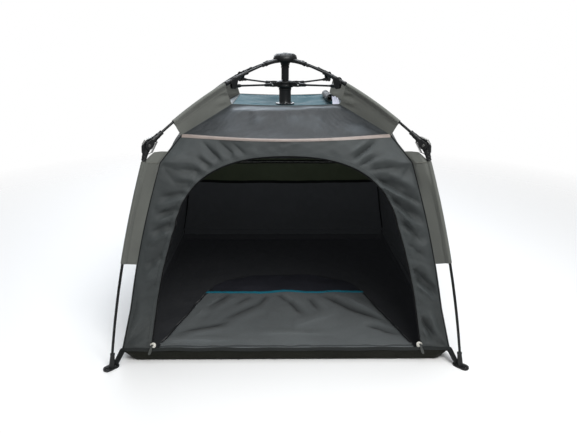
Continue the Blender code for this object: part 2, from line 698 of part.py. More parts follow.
def foot_mesh():
    plate = flat_prism(rounded_rectangle(PLATE_INNER_R, PLATE_OUTER_R, PLATE_HALF, PLATE_CORNER),
                       0.0, PLATE_THICKNESS)
    slot = box((SLOT_INNER_R, -SLOT_HALF, -0.01), (SLOT_OUTER_R, SLOT_HALF, 0.01))
    plate = boolean(plate, slot, "DIFFERENCE")
    hole = []
    for step in range(20):
        angle = 2.0 * math.pi * step / 20
        hole.append((STAKE_HOLE_R + STAKE_HOLE_RADIUS * math.cos(angle),
                     STAKE_HOLE_RADIUS * math.sin(angle)))
    plate = boolean(plate, flat_prism(hole, -0.01, 0.01), "DIFFERENCE")
    socket = sweep([FOOT_SOCKET_LOW, FOOT_SOCKET_TOP], [FOOT_SOCKET_RADIUS, SOCKET_MOUTH_RADIUS], 20)
    made = union(plate, socket)
    leg_end = leg_point(1.0)
    leg_before = leg_point(0.93)
    bore = sweep([beyond(leg_end, leg_before, 0.012), beyond(leg_before, leg_end, SEAT_GAP)],
                 [BORE_RADIUS, BORE_RADIUS], 16)
    return boolean(made, bore, "DIFFERENCE")


# The webbing strap from the hem's corner down into the foot's slot
def strap_mesh():
    top_r = HEM_HALF * ROOT_TWO + SEAT_GAP
    under_r = STRAP_SLOT_R - STRAP_THICKNESS
    upper = ((top_r, HEM_Z - 0.001), (0.6555, 0.0125), (STRAP_SLOT_R, 0.0090), (STRAP_SLOT_R, STRAP_LOW_Z))
    lower = ((under_r, STRAP_LOW_Z), (under_r, 0.0080), (0.6547, 0.0107), (top_r, HEM_Z - 0.0035))
    return upright_prism(upper + lower, -STRAP_HALF, STRAP_HALF)


def upper_wing_mesh():
    clear = ROD_RADIUS + SEAT_GAP
    seam = ((EAVE_HALF * ROOT_TWO + 0.0012, EAVE_Z), (CREST_HALF * ROOT_TWO, CREST_Z + 0.0008))
    outline = list(seam)
    low = fraction_along(pole_point, 0, UPPER_WING_START_R)
    high = fraction_along(pole_point, 0, UPPER_WING_END_R)
    for t in np.linspace(low, high, 9):
        near = pole_point(t)
        after = pole_point(t + 0.01)
        length = math.hypot(after[0] - near[0], after[1] - near[1])
        extra = SLEEVE_RADIUS - ROD_RADIUS if near[0] < SLEEVE_END_R + 0.003 else 0.0
        outline.append((near[0] + (after[1] - near[1]) / length * (clear + extra),
                        near[1] - (after[0] - near[0]) / length * (clear + extra)))
    return upright_prism(outline, -WING_HALF, WING_HALF)


# Up the cabin's corner seam, past the shoulder, then over the gusset below the knee's spring and
# down along the leg
def lower_wing_mesh():
    clear = ROD_RADIUS + SEAT_GAP
    outline = []
    for z in (LOWER_WING_SEAM_Z, SHOULDER_Z, GUSSET_SEAM_Z):
        outline.append((seam_half(z) * ROOT_TWO + 2.0 * SEAT_GAP, z))
    outline.extend(GUSSET_EDGE)
    top = fraction_along(leg_point, 1, LOWER_WING_TOP_Z)
    low = fraction_along(leg_point, 1, LOWER_WING_LEG_Z)
    for t in np.linspace(top, low, 9):
        near = leg_point(t)
        after = leg_point(t + 0.01)
        length = math.hypot(after[0] - near[0], after[1] - near[1])
        extra = SOCKET_MOUTH_RADIUS - ROD_RADIUS + 0.0006 if near[1] > KNEE_LOWER_MOUTH[1] - 0.006 else 0.0
        outline.append((near[0] + (after[1] - near[1]) / length * (clear + extra),
                        near[1] - (after[0] - near[0]) / length * (clear + extra)))
    return upright_prism(outline, -WING_HALF, WING_HALF)


def build_corners(plastic, rod_fibre, strut_metal, wing_cloth, webbing):
    pieces = (
        ("upper_pole_", upper_pole_mesh(), rod_fibre),
        ("strut_", strut_mesh(), strut_metal),
        ("knee_", knee_mesh(), plastic),
        ("leg_", leg_mesh(), rod_fibre),
        ("foot_", foot_mesh(), plastic),
        ("foot_strap_", strap_mesh(), webbing),
        ("upper_wing_", upper_wing_mesh(), wing_cloth),
        ("lower_wing_", lower_wing_mesh(), wing_cloth),
    )
    for prefix, mesh, look in pieces:
        for corner, turn in CORNERS.items():
            place(prefix + corner, mesh, look, turn)


def main():
    clear_scene()
    cabin_cloth = make_material("cabin_cloth", (0.075, 0.080, 0.082), 0.62)
    roof_cloth = make_material("roof_cloth", (0.16, 0.25, 0.28), 0.55)
    olive_cloth = make_material("olive_cloth", (0.15, 0.16, 0.135), 0.70)
    screen_mesh = make_material("screen_mesh", (0.020, 0.026, 0.018), 0.80)
    tub_cloth = make_material("tub_cloth", (0.014, 0.015, 0.012), 0.55)
    webbing = make_material("webbing", (0.016, 0.016, 0.017), 0.75)
    plastic = make_material("black_plastic", (0.018, 0.019, 0.020), 0.42)
    rod_fibre = make_material("rod_fibre", (0.016, 0.017, 0.018), 0.35)
    slider_plastic = make_material("slider_plastic", (0.62, 0.60, 0.54), 0.40)
    tab_cloth = make_material("tab_cloth", (0.10, 0.10, 0.10), 0.70)
    build_floor(tub_cloth)
    build_walls(cabin_cloth, screen_mesh)
    build_roof(cabin_cloth, roof_cloth, cabin_cloth)
    build_door(cabin_cloth)
    build_zips(slider_plastic, tab_cloth)
    build_hub(plastic, rod_fibre)
    build_corners(plastic, rod_fibre, rod_fibre, olive_cloth, webbing)


main()
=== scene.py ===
# Pop-up pet tent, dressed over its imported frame: cloth, seams, zips, rods, knees, hub and feet.
import json
import math

import bpy
import numpy as np
from mathutils import Matrix, Vector

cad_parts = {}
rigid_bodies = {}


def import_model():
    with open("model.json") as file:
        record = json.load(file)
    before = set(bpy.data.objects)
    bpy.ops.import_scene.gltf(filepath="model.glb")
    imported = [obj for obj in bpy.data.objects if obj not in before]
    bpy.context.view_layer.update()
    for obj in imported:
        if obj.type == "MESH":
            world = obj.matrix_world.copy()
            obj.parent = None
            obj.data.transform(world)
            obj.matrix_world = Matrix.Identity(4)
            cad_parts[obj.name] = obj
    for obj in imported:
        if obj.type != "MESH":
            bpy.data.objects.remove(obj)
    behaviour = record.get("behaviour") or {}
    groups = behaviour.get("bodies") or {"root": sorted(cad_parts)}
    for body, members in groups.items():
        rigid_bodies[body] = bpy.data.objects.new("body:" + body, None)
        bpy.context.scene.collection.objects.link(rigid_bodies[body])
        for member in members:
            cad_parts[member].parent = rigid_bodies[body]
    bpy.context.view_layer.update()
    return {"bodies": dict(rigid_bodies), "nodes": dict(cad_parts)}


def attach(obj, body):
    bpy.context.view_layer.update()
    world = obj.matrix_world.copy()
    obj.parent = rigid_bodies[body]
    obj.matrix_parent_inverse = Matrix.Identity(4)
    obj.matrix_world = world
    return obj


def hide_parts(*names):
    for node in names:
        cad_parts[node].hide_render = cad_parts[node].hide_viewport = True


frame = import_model()
kept = set(frame["nodes"].values()) | set(frame["bodies"].values())
for spare in [item for item in bpy.data.objects if item not in kept]:
    bpy.data.objects.remove(spare)
print("frame loaded,", len(frame["nodes"]), "nodes")

bpy.context.scene.view_settings.view_transform = "Standard"
turns = {"front_left": 225.0, "front_right": 315.0, "back_right": 45.0, "back_left": 135.0}
sides = {"front": 0.0, "right": 90.0, "back": 180.0, "left": 270.0}
rootTwo = math.sqrt(2.0)

# The cabin's own lines, as half widths and heights in metres
cabin = {
    "hemHalf": 0.449, "hemZ": 0.038,
    "shoulderHalf": 0.333, "shoulderZ": 0.535,
    "eaveHalf": 0.2815, "eaveZ": 0.598, "eaveMidHalf": 0.3205, "eaveMidZ": 0.592,
    "crestHalf": 0.156, "crestZ": 0.665, "crestMidHalf": 0.158, "crestMidZ": 0.661,
    "roofSagZ": 0.6475,
    "cornerPull": 0.0065, "cornerPullLowZ": 0.150,
    # thickness of walls and roof, of the floor and the flap, and of the flap's screen and the rolled cover
    "cloth": 0.0011, "floorCloth": 0.0010, "thinCloth": 0.0007,
}
leanAngle = math.atan2(cabin["hemHalf"] - cabin["shoulderHalf"], cabin["shoulderZ"] - cabin["hemZ"])
wallOut = np.array([0.0, -math.cos(leanAngle), math.sin(leanAngle)])


# Mesh helpers

# Each vector divided by its own length
def unit(vectors):
    return vectors / np.maximum(np.linalg.norm(vectors, axis=-1, keepdims=True), 1e-12)


# A soft step from 0 at low to 1 at high: t t (3 - 2 t), with t the share of the way
def smooth(value, low, high):
    t = np.clip((value - low) / (high - low), 0.0, 1.0)
    return t * t * (3.0 - 2.0 * t)


# Points turned about +Z: x cos a - y sin a, x sin a + y cos a
def turned(points, degrees):
    angle = math.radians(degrees)
    c, s = math.cos(angle), math.sin(angle)
    return np.asarray(points, float) @ np.array([[c, s, 0.0], [-s, c, 0.0], [0.0, 0.0, 1.0]])


# The length of a path up to each of its points: the sum of the steps so far
def runLength(path):
    return np.concatenate([[0.0], np.cumsum(np.linalg.norm(np.diff(path, axis=0), axis=1))])


# The unit vector to the right of a flat path at each point: its tangent (a, b) turned to (b, -a)
def rightOf(path):
    along = unit(np.gradient(path, axis=0))
    return np.stack([along[:, 1], -along[:, 0]], -1)


# Angles spaced evenly round a circle
def ringAngles(count):
    return np.linspace(0.0, 2.0 * math.pi, count, endpoint=False)


# Length along each row and each column of a grid, in metres, measured from the row's middle
def lengthMap(points):
    across = np.zeros(points.shape[:2])
    along = np.zeros(points.shape[:2])
    across[:, 1:] = np.cumsum(np.linalg.norm(np.diff(points, axis=1), axis=-1), axis=1)
    along[1:] = np.cumsum(np.linalg.norm(np.diff(points, axis=0), axis=-1), axis=0)
    return np.stack([across - across[:, -1:] / 2.0, along], -1)


# Collects surfaces, then makes one mesh of them, turned as a whole about +Z by degrees
class Shape:
    def __init__(self, degrees=0.0):
        self.points, self.faces, self.maps = [], [], []
        self.count, self.degrees = 0, degrees

    # faces is a list of integer arrays, one for each number of corners, and maps their UVs
    def add(self, points, faces, maps):
        self.points.append(points)
        self.faces += [part + self.count for part in faces]
        self.maps += maps
        self.count += len(points)
        return self

    # The surfaces of another shape, turned by its own angle and then moved
    def merge(self, other, shift=0.0):
        return self.add(turned(np.concatenate(other.points), other.degrees) + shift, other.faces, other.maps)

    # A grid of points. out is the way an open sheet faces; a closed one is turned by its volume. caps is 1
    # to close the first row with a face, and 2 to close the last one too.
    def grid(self, points, wrapRows=False, wrapColumns=False, caps=0, out=None):
        rows, columns = points.shape[:2]
        if wrapColumns:
            points = np.concatenate([points, points[:, :1]], axis=1)
        if wrapRows:
            points = np.concatenate([points, points[:1]], axis=0)
        lengths = lengthMap(points)
        i, j = np.meshgrid(np.arange(points.shape[0] - 1), np.arange(points.shape[1] - 1), indexing="ij")
        corners = [(i, j), (i + 1, j), (i + 1, j + 1), (i, j + 1)]
        quads = np.stack([(a % rows) * columns + b % columns for a, b in corners], -1).reshape(-1, 4)
        maps = np.stack([lengths[a, b] for a, b in corners], -2).reshape(-1, 4, 2)
        flat = points[:rows, :columns].reshape(-1, 3)
        first = np.arange(columns)[None, :]
        ends = [first, (rows - 1) * columns + first[:, ::-1]][:caps]
        faces, uvs = [quads, *ends], [maps, *(flat[end][..., :2] for end in ends)]
        corner = flat[quads]
        areas = np.cross(corner[:, 2] - corner[:, 0], corner[:, 3] - corner[:, 1])
        facing = np.asarray(out, float) if out is not None else corner.mean(axis=1) - flat.mean(axis=0)
        if (areas * facing).sum() < 0.0:
            faces = [part[:, ::-1] for part in faces]
            uvs = [part[:, ::-1] for part in uvs]
        return self.add(flat, faces, uvs)

    # A solid from closed rings of points, with a face over each end
    def solid(self, rings):
        return self.grid(rings, wrapColumns=True, caps=2)

    # A tube as a solid
    def pipe(self, path, radius, count=12, side=(0.0, 1.0, 0.0)):
        return self.solid(tube(path, radius, count, side))

    # The same small solid again and again, at each place and turned by each 3 x 3 frame
    def repeat(self, points, faces, frames, places):
        moved = np.einsum("kij,pi->kpj", frames, points) + places[:, None, :]
        firsts = np.arange(len(places))[:, None, None] * len(points)
        many = (faces[None] + firsts).reshape(-1, faces.shape[1])
        flat = moved.reshape(-1, 3)
        return self.add(flat, [many], [flat[many][..., :2]])

    # A prism on an outline of (a, b) points between two depths, with its axes given as three vectors
    def prism(self, outline, low, high, axes=((1, 0, 0), (0, 0, 1), (0, 1, 0))):
        outline, axes = np.asarray(outline, float), np.asarray(axes, float)
        flat = outline @ axes[:2]
        return self.solid(np.stack([flat + low * axes[2], flat + high * axes[2]]))

    # fold gives each point a value from 1 in a fold's hollow to -1 on its crest, which paints shade
    # into the hollows and a highlight onto the crests of the cloth's colour
    def finish(self, name, looks, slotName=None, stands=(), body="tent", thick=None, sharp=35.0, bevel=None,
               fold=None):
        mesh = bpy.data.meshes.new(name)
        points = turned(np.concatenate(self.points), self.degrees).astype(np.float32)
        sizes = np.concatenate([np.full(len(part), part.shape[1]) for part in self.faces])
        loops = np.concatenate([part.ravel() for part in self.faces]).astype(np.int32)
        starts = np.concatenate([[0], np.cumsum(sizes)[:-1]]).astype(np.int32)
        mesh.vertices.add(len(points))
        mesh.vertices.foreach_set("co", points.ravel())
        mesh.loops.add(len(loops))
        mesh.loops.foreach_set("vertex_index", loops)
        mesh.polygons.add(len(sizes))
        mesh.polygons.foreach_set("loop_start", starts)
        mesh.update(calc_edges=True)
        layer = mesh.uv_layers.new(name="cloth")
        layer.data.foreach_set("uv", np.concatenate([part.reshape(-1, 2) for part in self.maps]).ravel())
        if fold is not None:
            tones = mesh.attributes.new("fold", "FLOAT", "POINT")
            tones.data.foreach_set("value", np.clip(fold, -1.0, 1.0).ravel())
        mesh.validate()
        mesh.shade_smooth()
        mesh.set_sharp_from_angle(angle=math.radians(sharp))
        for look in looks if isinstance(looks, (list, tuple)) else [looks]:
            mesh.materials.append(look)
        piece = bpy.data.objects.new(name, mesh)
        bpy.context.scene.collection.objects.link(piece)
        if thick:
            shell = piece.modifiers.new("clothThickness", "SOLIDIFY")
            shell.thickness = thick
            shell.offset = -1.0
            shell.material_offset = 1 if len(mesh.materials) > 1 else 0
        if bevel:
            edge = piece.modifiers.new("softEdges", "BEVEL")
            edge.width, edge.segments, edge.limit_method = bevel, 2, "ANGLE"
        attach(piece, body)
        if stands:
            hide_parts(*stands)
        return piece


# A tube: at each point of the path a circle of the given radius, squared to the path. side is a
# direction that the path stays away from.
def tube(path, radius, count=12, side=(0.0, 1.0, 0.0)):
    path, side = np.asarray(path, float), np.asarray(side, float)
    radius = np.broadcast_to(np.asarray(radius, float), len(path))
    along = unit(np.gradient(path, axis=0))
    across = unit(side - (along @ side)[:, None] * along)
    up = np.cross(along, across)
    angle = ringAngles(count)[None, :, None]
    ring = np.cos(angle) * up[:, None] + np.sin(angle) * across[:, None]
    return path[:, None] + ring * radius[:, None, None]


# A turned solid: each (radius, height) point of the profile goes round +Z as a circle
def lathe(profile, count=40, centre=(0.0, 0.0, 0.0)):
    profile = np.asarray(profile, float)
    angle = ringAngles(count)
    ring = np.stack([np.cos(angle), np.sin(angle), np.zeros(count)], -1)
    return profile[:, :1, None] * ring + profile[:, 1:, None] * np.array([0.0, 0.0, 1.0]) + np.asarray(centre)


# A circle about a centre as an outline: x = r cos t, y = r sin t
def roundOutline(centre, radius, count=20):
    angle = ringAngles(count)
    return np.stack([centre[0] + radius * np.cos(angle), centre[1] + radius * np.sin(angle)], -1)


# Places a pitch apart along a path, each with its tangent
def alongPath(path, pitch, inset=0.0):
    run = runLength(path)
    marks = np.arange(inset + pitch / 2.0, run[-1] - inset, pitch)
    spot = lambda at: np.stack([np.interp(at, run, path[:, k]) for k in range(3)], -1)
    return spot(marks), unit(spot(marks + pitch / 4.0) - spot(marks - pitch / 4.0))


# The shape of one stitch: a long, low double pyramid
stitchPoints = np.array([[1, 0, 0], [0, 1, 0], [-1, 0, 0], [0, -1, 0], [0, 0, 1], [0, 0, -1]], float)
stitchFaces = np.array([[0, 1, 4], [1, 2, 4], [2, 3, 4], [3, 0, 4],
                        [1, 0, 5], [2, 1, 5], [3, 2, 5], [0, 3, 5]])


# Threads, tapes and zips, in metres. A stitch or a zip's tooth is given as its half length, half width
# and half height, and a pitch is the distance from one to the next.
sewing = {
    "pitch": 0.0042, "stitch": (0.0014, 0.0005, 0.0005),
    "coilPitch": 0.0021, "doorwayTooth": (0.0008, 0.0016, 0.0010), "flapTooth": (0.0008, 0.0015, 0.0011),
    "windowPitch": 0.0048, "windowTooth": (0.0013, 0.0030, 0.0012),
    "strapPitch": 0.0034, "tackPitch": 0.0030,
    # thickness of the tapes
    "tape": 0.0006, "flapTape": 0.0005,
    # radii of the rolled seams, of the piping beside the corners and of the binding inside them
    "corner": 0.0017, "hip": 0.0016, "crest": 0.0014, "piping": 0.0013, "inner": 0.0026,
    # how far in from a corner the piping, the stitches and the inner binding lie
    "pipingIn": 0.0010, "stitchIn": 0.0075, "innerIn": 0.0036,
}


# A row of stitches on a surface, with its normal given for the whole row or at each point
def stitchRow(shape, path, normal, pitch=sewing["pitch"], size=sewing["stitch"], inset=0.0):
    places, along = alongPath(path, pitch, inset)
    normal = np.broadcast_to(np.asarray(normal, float), along.shape)
    across = unit(np.cross(normal, along))
    frames = np.stack([along, across, np.cross(along, across)], 1)
    shape.repeat(stitchPoints * np.asarray(size), stitchFaces, frames, places)


# Slow ripples: a sum of cosines whose directions and phases are drawn from one seed
def ripples(a, b, seed, wave, count=7):
    draw = np.random.default_rng(seed)
    angle = draw.uniform(0.0, math.pi, count)
    phase = draw.uniform(0.0, 2.0 * math.pi, count)
    pace = 2.0 * math.pi / (wave * draw.uniform(0.7, 1.6, count))
    a, b = a[..., None], b[..., None]
    return np.cos((a * np.cos(angle) + b * np.sin(angle)) * pace + phase).sum(-1) / math.sqrt(count)


# The form of a crease: what its two flanks stretch its width by, its crest, the hollow beyond it, and
# the shares of its length between which it swells and fades
creaseForm = {
    "gentle": 1.5, "steep": 0.75, "crest": 1.25, "rounding": 0.05, "hollow": 0.35, "hollowAt": 2.6,
    "swell": (-0.12, 0.22), "fade": (0.55, 1.12),
}


# Creases: each runs from one point to another with a width and a height. Across the line the cloth
# climbs steeply to a narrow crest and falls off gently past it, like exp(-distance), with a shallow
# hollow beyond, and along the line the crest swells and fades.
def creases(a, b, folds):
    folds = np.asarray(folds, float)
    start, end, width, height = folds[:, :2], folds[:, 2:4], folds[:, 4], folds[:, 5]
    length = np.linalg.norm(end - start, axis=1)
    along = (end - start) / length[:, None]
    da, db = a[..., None] - start[:, 0], b[..., None] - start[:, 1]
    t = (da * along[:, 0] + db * along[:, 1]) / length
    off = (db * along[:, 0] - da * along[:, 1]) / width
    off = np.where(off > 0.0, off / creaseForm["gentle"], off / creaseForm["steep"])
    fade = smooth(t, *creaseForm["swell"]) * (1.0 - smooth(t, *creaseForm["fade"]))
    crest = creaseForm["crest"] * np.exp(-np.sqrt(off ** 2 + creaseForm["rounding"]))
    crest = crest - creaseForm["hollow"] * np.exp(-(off - creaseForm["hollowAt"]) ** 2)
    return (height * fade * crest).sum(-1)


# Folds that fan out from one point of the right half to each end, by turns raised and sunk. side is -1
# for the same fan on the left, and first says which way the first fold goes.
def fan(start, ends, side, width, height, first=0):
    return [(side * start[0], start[1], side * x, z, width, height * (1.0 if (index + first) % 2 else -1.0))
            for index, (x, z) in enumerate(ends)]


# Materials: maths on sockets is written as plain expressions

class Socket:
    def __init__(self, finish, output):
        self.finish, self.output = finish, output

    # A maths node on this socket and up to two more values
    def maths(self, operation, *others):
        values = dict(enumerate([self, *others]))
        return self.finish.node("ShaderNodeMath", {"operation": operation}, values)

    def __add__(self, other):
        return self.maths("ADD", other)

    def __sub__(self, other):
        return self.maths("SUBTRACT", other)

    def __rsub__(self, other):
        return (self * -1.0) + other

    def __mul__(self, other):
        return self.maths("MULTIPLY", other)

    def __truediv__(self, other):
        return self.maths("DIVIDE", other)

    def __pow__(self, other):
        return self.maths("POWER", other)

    def clamp(self):
        return self.maths("MAXIMUM", 0.0).maths("MINIMUM", 1.0)


# A material and its node tree. constants are inputs of its shader, with _ for a space.
class Finish:
    def __init__(self, name, colour, roughness, metallic=0.0, **constants):
        self.material = bpy.data.materials.new(name)
        self.material.use_nodes = True
        self.tree = self.material.node_tree
        self.shader = self.tree.nodes["Principled BSDF"]
        self.shader.inputs["Base Color"].default_value = (*colour, 1.0)
        self.shader.inputs["Roughness"].default_value = roughness
        self.shader.inputs["Metallic"].default_value = metallic
        for key, value in constants.items():
            self.shader.inputs[key.replace("_", " ")].default_value = value

    # Any node: its type, its settings, then the values or links of its sockets
    def node(self, kind, settings=None, values=None, out=0):
        made = self.tree.nodes.new(kind)
        for key, value in (settings or {}).items():
            setattr(made, key, value)
        for key, value in (values or {}).items():
            if isinstance(value, Socket):
                self.tree.links.new(value.output, made.inputs[key])
            else:
                made.inputs[key].default_value = value
        return Socket(self, made.outputs[out])

    # A link into an input of the shader
    def feed(self, name, value):
        self.tree.links.new(value.output, self.shader.inputs[name])

    # The piece's own coordinates in metres, and the cloth's map of lengths in metres
    def place(self):
        return self.node("ShaderNodeTexCoord", out="Object")

    def cloth(self):
        return self.node("ShaderNodeUVMap", {"uv_map": "cloth"})

    # The three parts of a vector
    def parts(self, vector):
        split = self.node("ShaderNodeSeparateXYZ", values={0: vector})
        outputs = split.output.node.outputs
        return [Socket(self, outputs[k]) for k in range(3)]

    # Noise from 0 to 1, with scale grains to a metre
    def noise(self, scale, detail=3.0, roughness=0.5):
        values = {"Vector": self.place(), "Scale": scale, "Detail": detail, "Roughness": roughness}
        return self.node("ShaderNodeTexNoise", values=values)

    # first * (1 - factor) + second * factor, where each of the two is a socket or a plain colour
    def mix(self, factor, first, second):
        first, second = (tone if isinstance(tone, Socket) else (*tone, 1.0) for tone in (first, second))
        return self.node("ShaderNodeMix", {"data_type": "RGBA"}, {0: factor, 6: first, 7: second}, 2)

    # Relief in the shading, from a height that stands for a distance in metres
    def bump(self, height, strength, distance):
        values = {"Height": height, "Strength": strength, "Distance": distance}
        self.feed("Normal", self.node("ShaderNodeBump", values=values, out="Normal"))


# A colour times a factor, with no channel above 1
def shade(colour, factor):
    return tuple(float(min(channel * factor, 1.0)) for channel in colour)


# Woven cloth: threads over and under on the cloth's own map, slow mottling, faint dust that
# gathers low down, and a roughness that follows both. Its glow is painted light, an even emission that
# stands in for the daylight through the cloth. hollow and crest say how much painted shade and painted
# highlight the cloth gets where its fold attribute is 1 and -1, and the highlight's gain how pale it is.
def wovenFinish(name, colour, roughness=0.6, thread=0.00065, weave=0.35, dust=0.10, mottle=0.22, crumple=1.6,
                gloss=0.18, paintedGlow=0.0, hollow=0.0, crest=0.0, paintedHighlightGain=2.8, **constants):
    made = Finish(name, colour, roughness, Specular_IOR_Level=gloss, **constants)
    # painted glow: an even emission in the cloth's own hue, standing in for daylight through it
    made.shader.inputs["Emission Color"].default_value = (*shade(colour, 1.0 / max(colour)), 1.0)
    made.shader.inputs["Emission Strength"].default_value = paintedGlow
    u, v, _ = made.parts(made.cloth())
    pace = 2.0 * math.pi / thread
    threads = (u * pace).maths("SINE") * (v * pace).maths("SINE") * 0.5 + 0.5
    slub = made.noise(900.0, 2.0)
    mottling = made.noise(9.0, 4.0, 0.6)
    speck = made.noise(160.0, 3.0, 0.7)
    _, _, height = made.parts(made.place())
    low = (1.0 - height / 0.22).clamp()
    dusty = ((speck * 0.6 + mottling * 0.7 - 0.45).clamp() * (low * 1.4 + 0.35) * dust).clamp()
    tone = made.mix(mottling, shade(colour, 1.0 - mottle), shade(colour, 1.0 + mottle))
    tone = made.mix(threads * 0.22, tone, shade(colour, 0.55))
    tone = made.mix(dusty, tone, (0.33, 0.30, 0.25))
    # painted shade in the folds' hollows and a painted highlight on their crests, from the fold attribute
    if hollow:
        fold = made.node("ShaderNodeAttribute", {"attribute_name": "fold"}, out="Fac")
        tone = made.mix(fold.clamp() * hollow, tone, shade(colour, 0.30))
        tone = made.mix((fold * -1.0).clamp() * crest, tone, shade(colour, paintedHighlightGain))
    made.feed("Base Color", tone)
    made.feed("Roughness", (mottling * 0.14 + dusty * 0.3 + (roughness - 0.07)).clamp())
    crease = ((made.noise(24.0, 3.0, 0.55) - 0.5).maths("ABSOLUTE") * 6.0).maths("MINIMUM", 1.0)
    made.bump(threads + slub * 0.5 + speck * 0.4 + crease * crumple + mottling * crumple * 2.0, weave, 0.0006)
    return made.material


# Moulded plastic: fine pitted skin, and handling scuffs that pale and dull it
def mouldedFinish(name, colour, roughness=0.42, grain=0.25, scuff=0.35):
    made = Finish(name, colour, roughness, Specular_IOR_Level=0.32, Coat_Weight=0.08, Coat_Roughness=0.35)
    pits = made.noise(1400.0, 2.0)
    smear = made.noise(38.0, 4.0, 0.65)
    marks = (made.noise(190.0, 5.0, 0.75) * 2.4 - 1.25).clamp()
    made.feed("Base Color", made.mix(marks * smear * scuff, shade(colour, 0.9), shade(colour, 3.2)))
    made.feed("Roughness", (smear * 0.22 + marks * 0.2 + (roughness - 0.12)).clamp())
    made.bump(pits + smear * 0.8 + marks * 0.5, grain, 0.0003)
    return made.material


# Pultruded rod: long fine streaks along it under a thin gloss
def rodFinish(name, colour):
    made = Finish(name, colour, 0.40, Specular_IOR_Level=0.22, Coat_Weight=0.05, Coat_Roughness=0.30)
    u, v, _ = made.parts(made.cloth())
    stretched = made.node("ShaderNodeCombineXYZ", values={0: u * 2600.0, 1: v * 45.0})
    streaks = made.node("ShaderNodeTexNoise", values={"Vector": stretched, "Scale": 1.0, "Detail": 3.0})
    wear = (made.noise(70.0, 4.0, 0.7) * 2.2 - 1.2).clamp()
    made.feed("Base Color", made.mix(streaks, shade(colour, 0.7), shade(colour, 1.7)))
    made.feed("Roughness", (streaks * 0.16 + wear * 0.22 + 0.24).clamp())
    made.bump(streaks, 0.15, 0.0003)
    return made.material


# Bright metal with fine brushing and a few dull spots
def metalFinish(name, colour, roughness=0.28):
    made = Finish(name, colour, roughness, 1.0)
    spots = made.noise(420.0, 4.0, 0.7)
    dull = made.noise(60.0, 3.0)
    made.feed("Base Color", made.mix(spots * dull, shade(colour, 1.15), shade(colour, 0.6)))
    made.feed("Roughness", (spots * 0.25 + dull * 0.15 + (roughness - 0.12)).clamp())
    made.bump(spots, 0.12, 0.0003)
    return made.material


# Ribbed tape: fine ribs straight across its length
def tapeFinish(name, colour, roughness=0.7, rib=0.0011, depth=0.6, **constants):
    made = Finish(name, colour, roughness, Specular_IOR_Level=0.2, **constants)
    u, v, _ = made.parts(made.cloth())
    ribs = (v * (2.0 * math.pi / rib)).maths("SINE") * 0.5 + 0.5
    warp = (u * (2.0 * math.pi / (rib * 0.8))).maths("SINE") * 0.5 + 0.5
    fuzz = made.noise(500.0, 3.0, 0.7)
    tone = made.mix(ribs * 0.5 + fuzz * 0.3, shade(colour, 0.72), shade(colour, 1.25))
    made.feed("Base Color", tone)
    made.feed("Roughness", (fuzz * 0.2 + (roughness - 0.1)).clamp())
    made.bump(ribs + warp * 0.4 + fuzz * 0.4, depth, 0.0004)
    return made.material


# Insect screen: a fine square net, open between its threads
def screenFinish(name, colour, pitch=0.0014, cover=0.55):
    made = Finish(name, colour, 0.7, Specular_IOR_Level=0.15)
    u, v, _ = made.parts(made.cloth())
    wave = [(part * (math.pi / pitch)).maths("SINE").maths("ABSOLUTE") for part in (u, v)]
    wires = wave[0].maths("LESS_THAN", 0.42).maths("MAXIMUM", wave[1].maths("LESS_THAN", 0.42))
    fuzz = made.noise(300.0, 3.0)
    made.feed("Base Color", made.mix(fuzz, shade(colour, 0.7), shade(colour, 1.4)))
    made.feed("Alpha", (wires * (1.0 - cover) + cover).clamp())
    made.bump(wires, 0.5, 0.0004)
    return made.material


# Pale retroreflective tape: tiny glass beads, and patches of grime that darken and roughen it
def reflectiveFinish(name, colour):
    made = Finish(name, colour, 0.45, Coat_Weight=0.1)
    beads = made.node("ShaderNodeTexVoronoi", values={"Vector": made.place(), "Scale": 1800.0})
    grime = made.noise(55.0, 4.0, 0.7)
    made.feed("Base Color", made.mix((grime * 1.6 - 0.45).clamp(), colour, shade(colour, 0.68)))
    made.feed("Roughness", (grime * 0.3 + 0.3).clamp())
    made.bump(beads + grime * 0.5, 0.25, 0.0003)
    return made.material


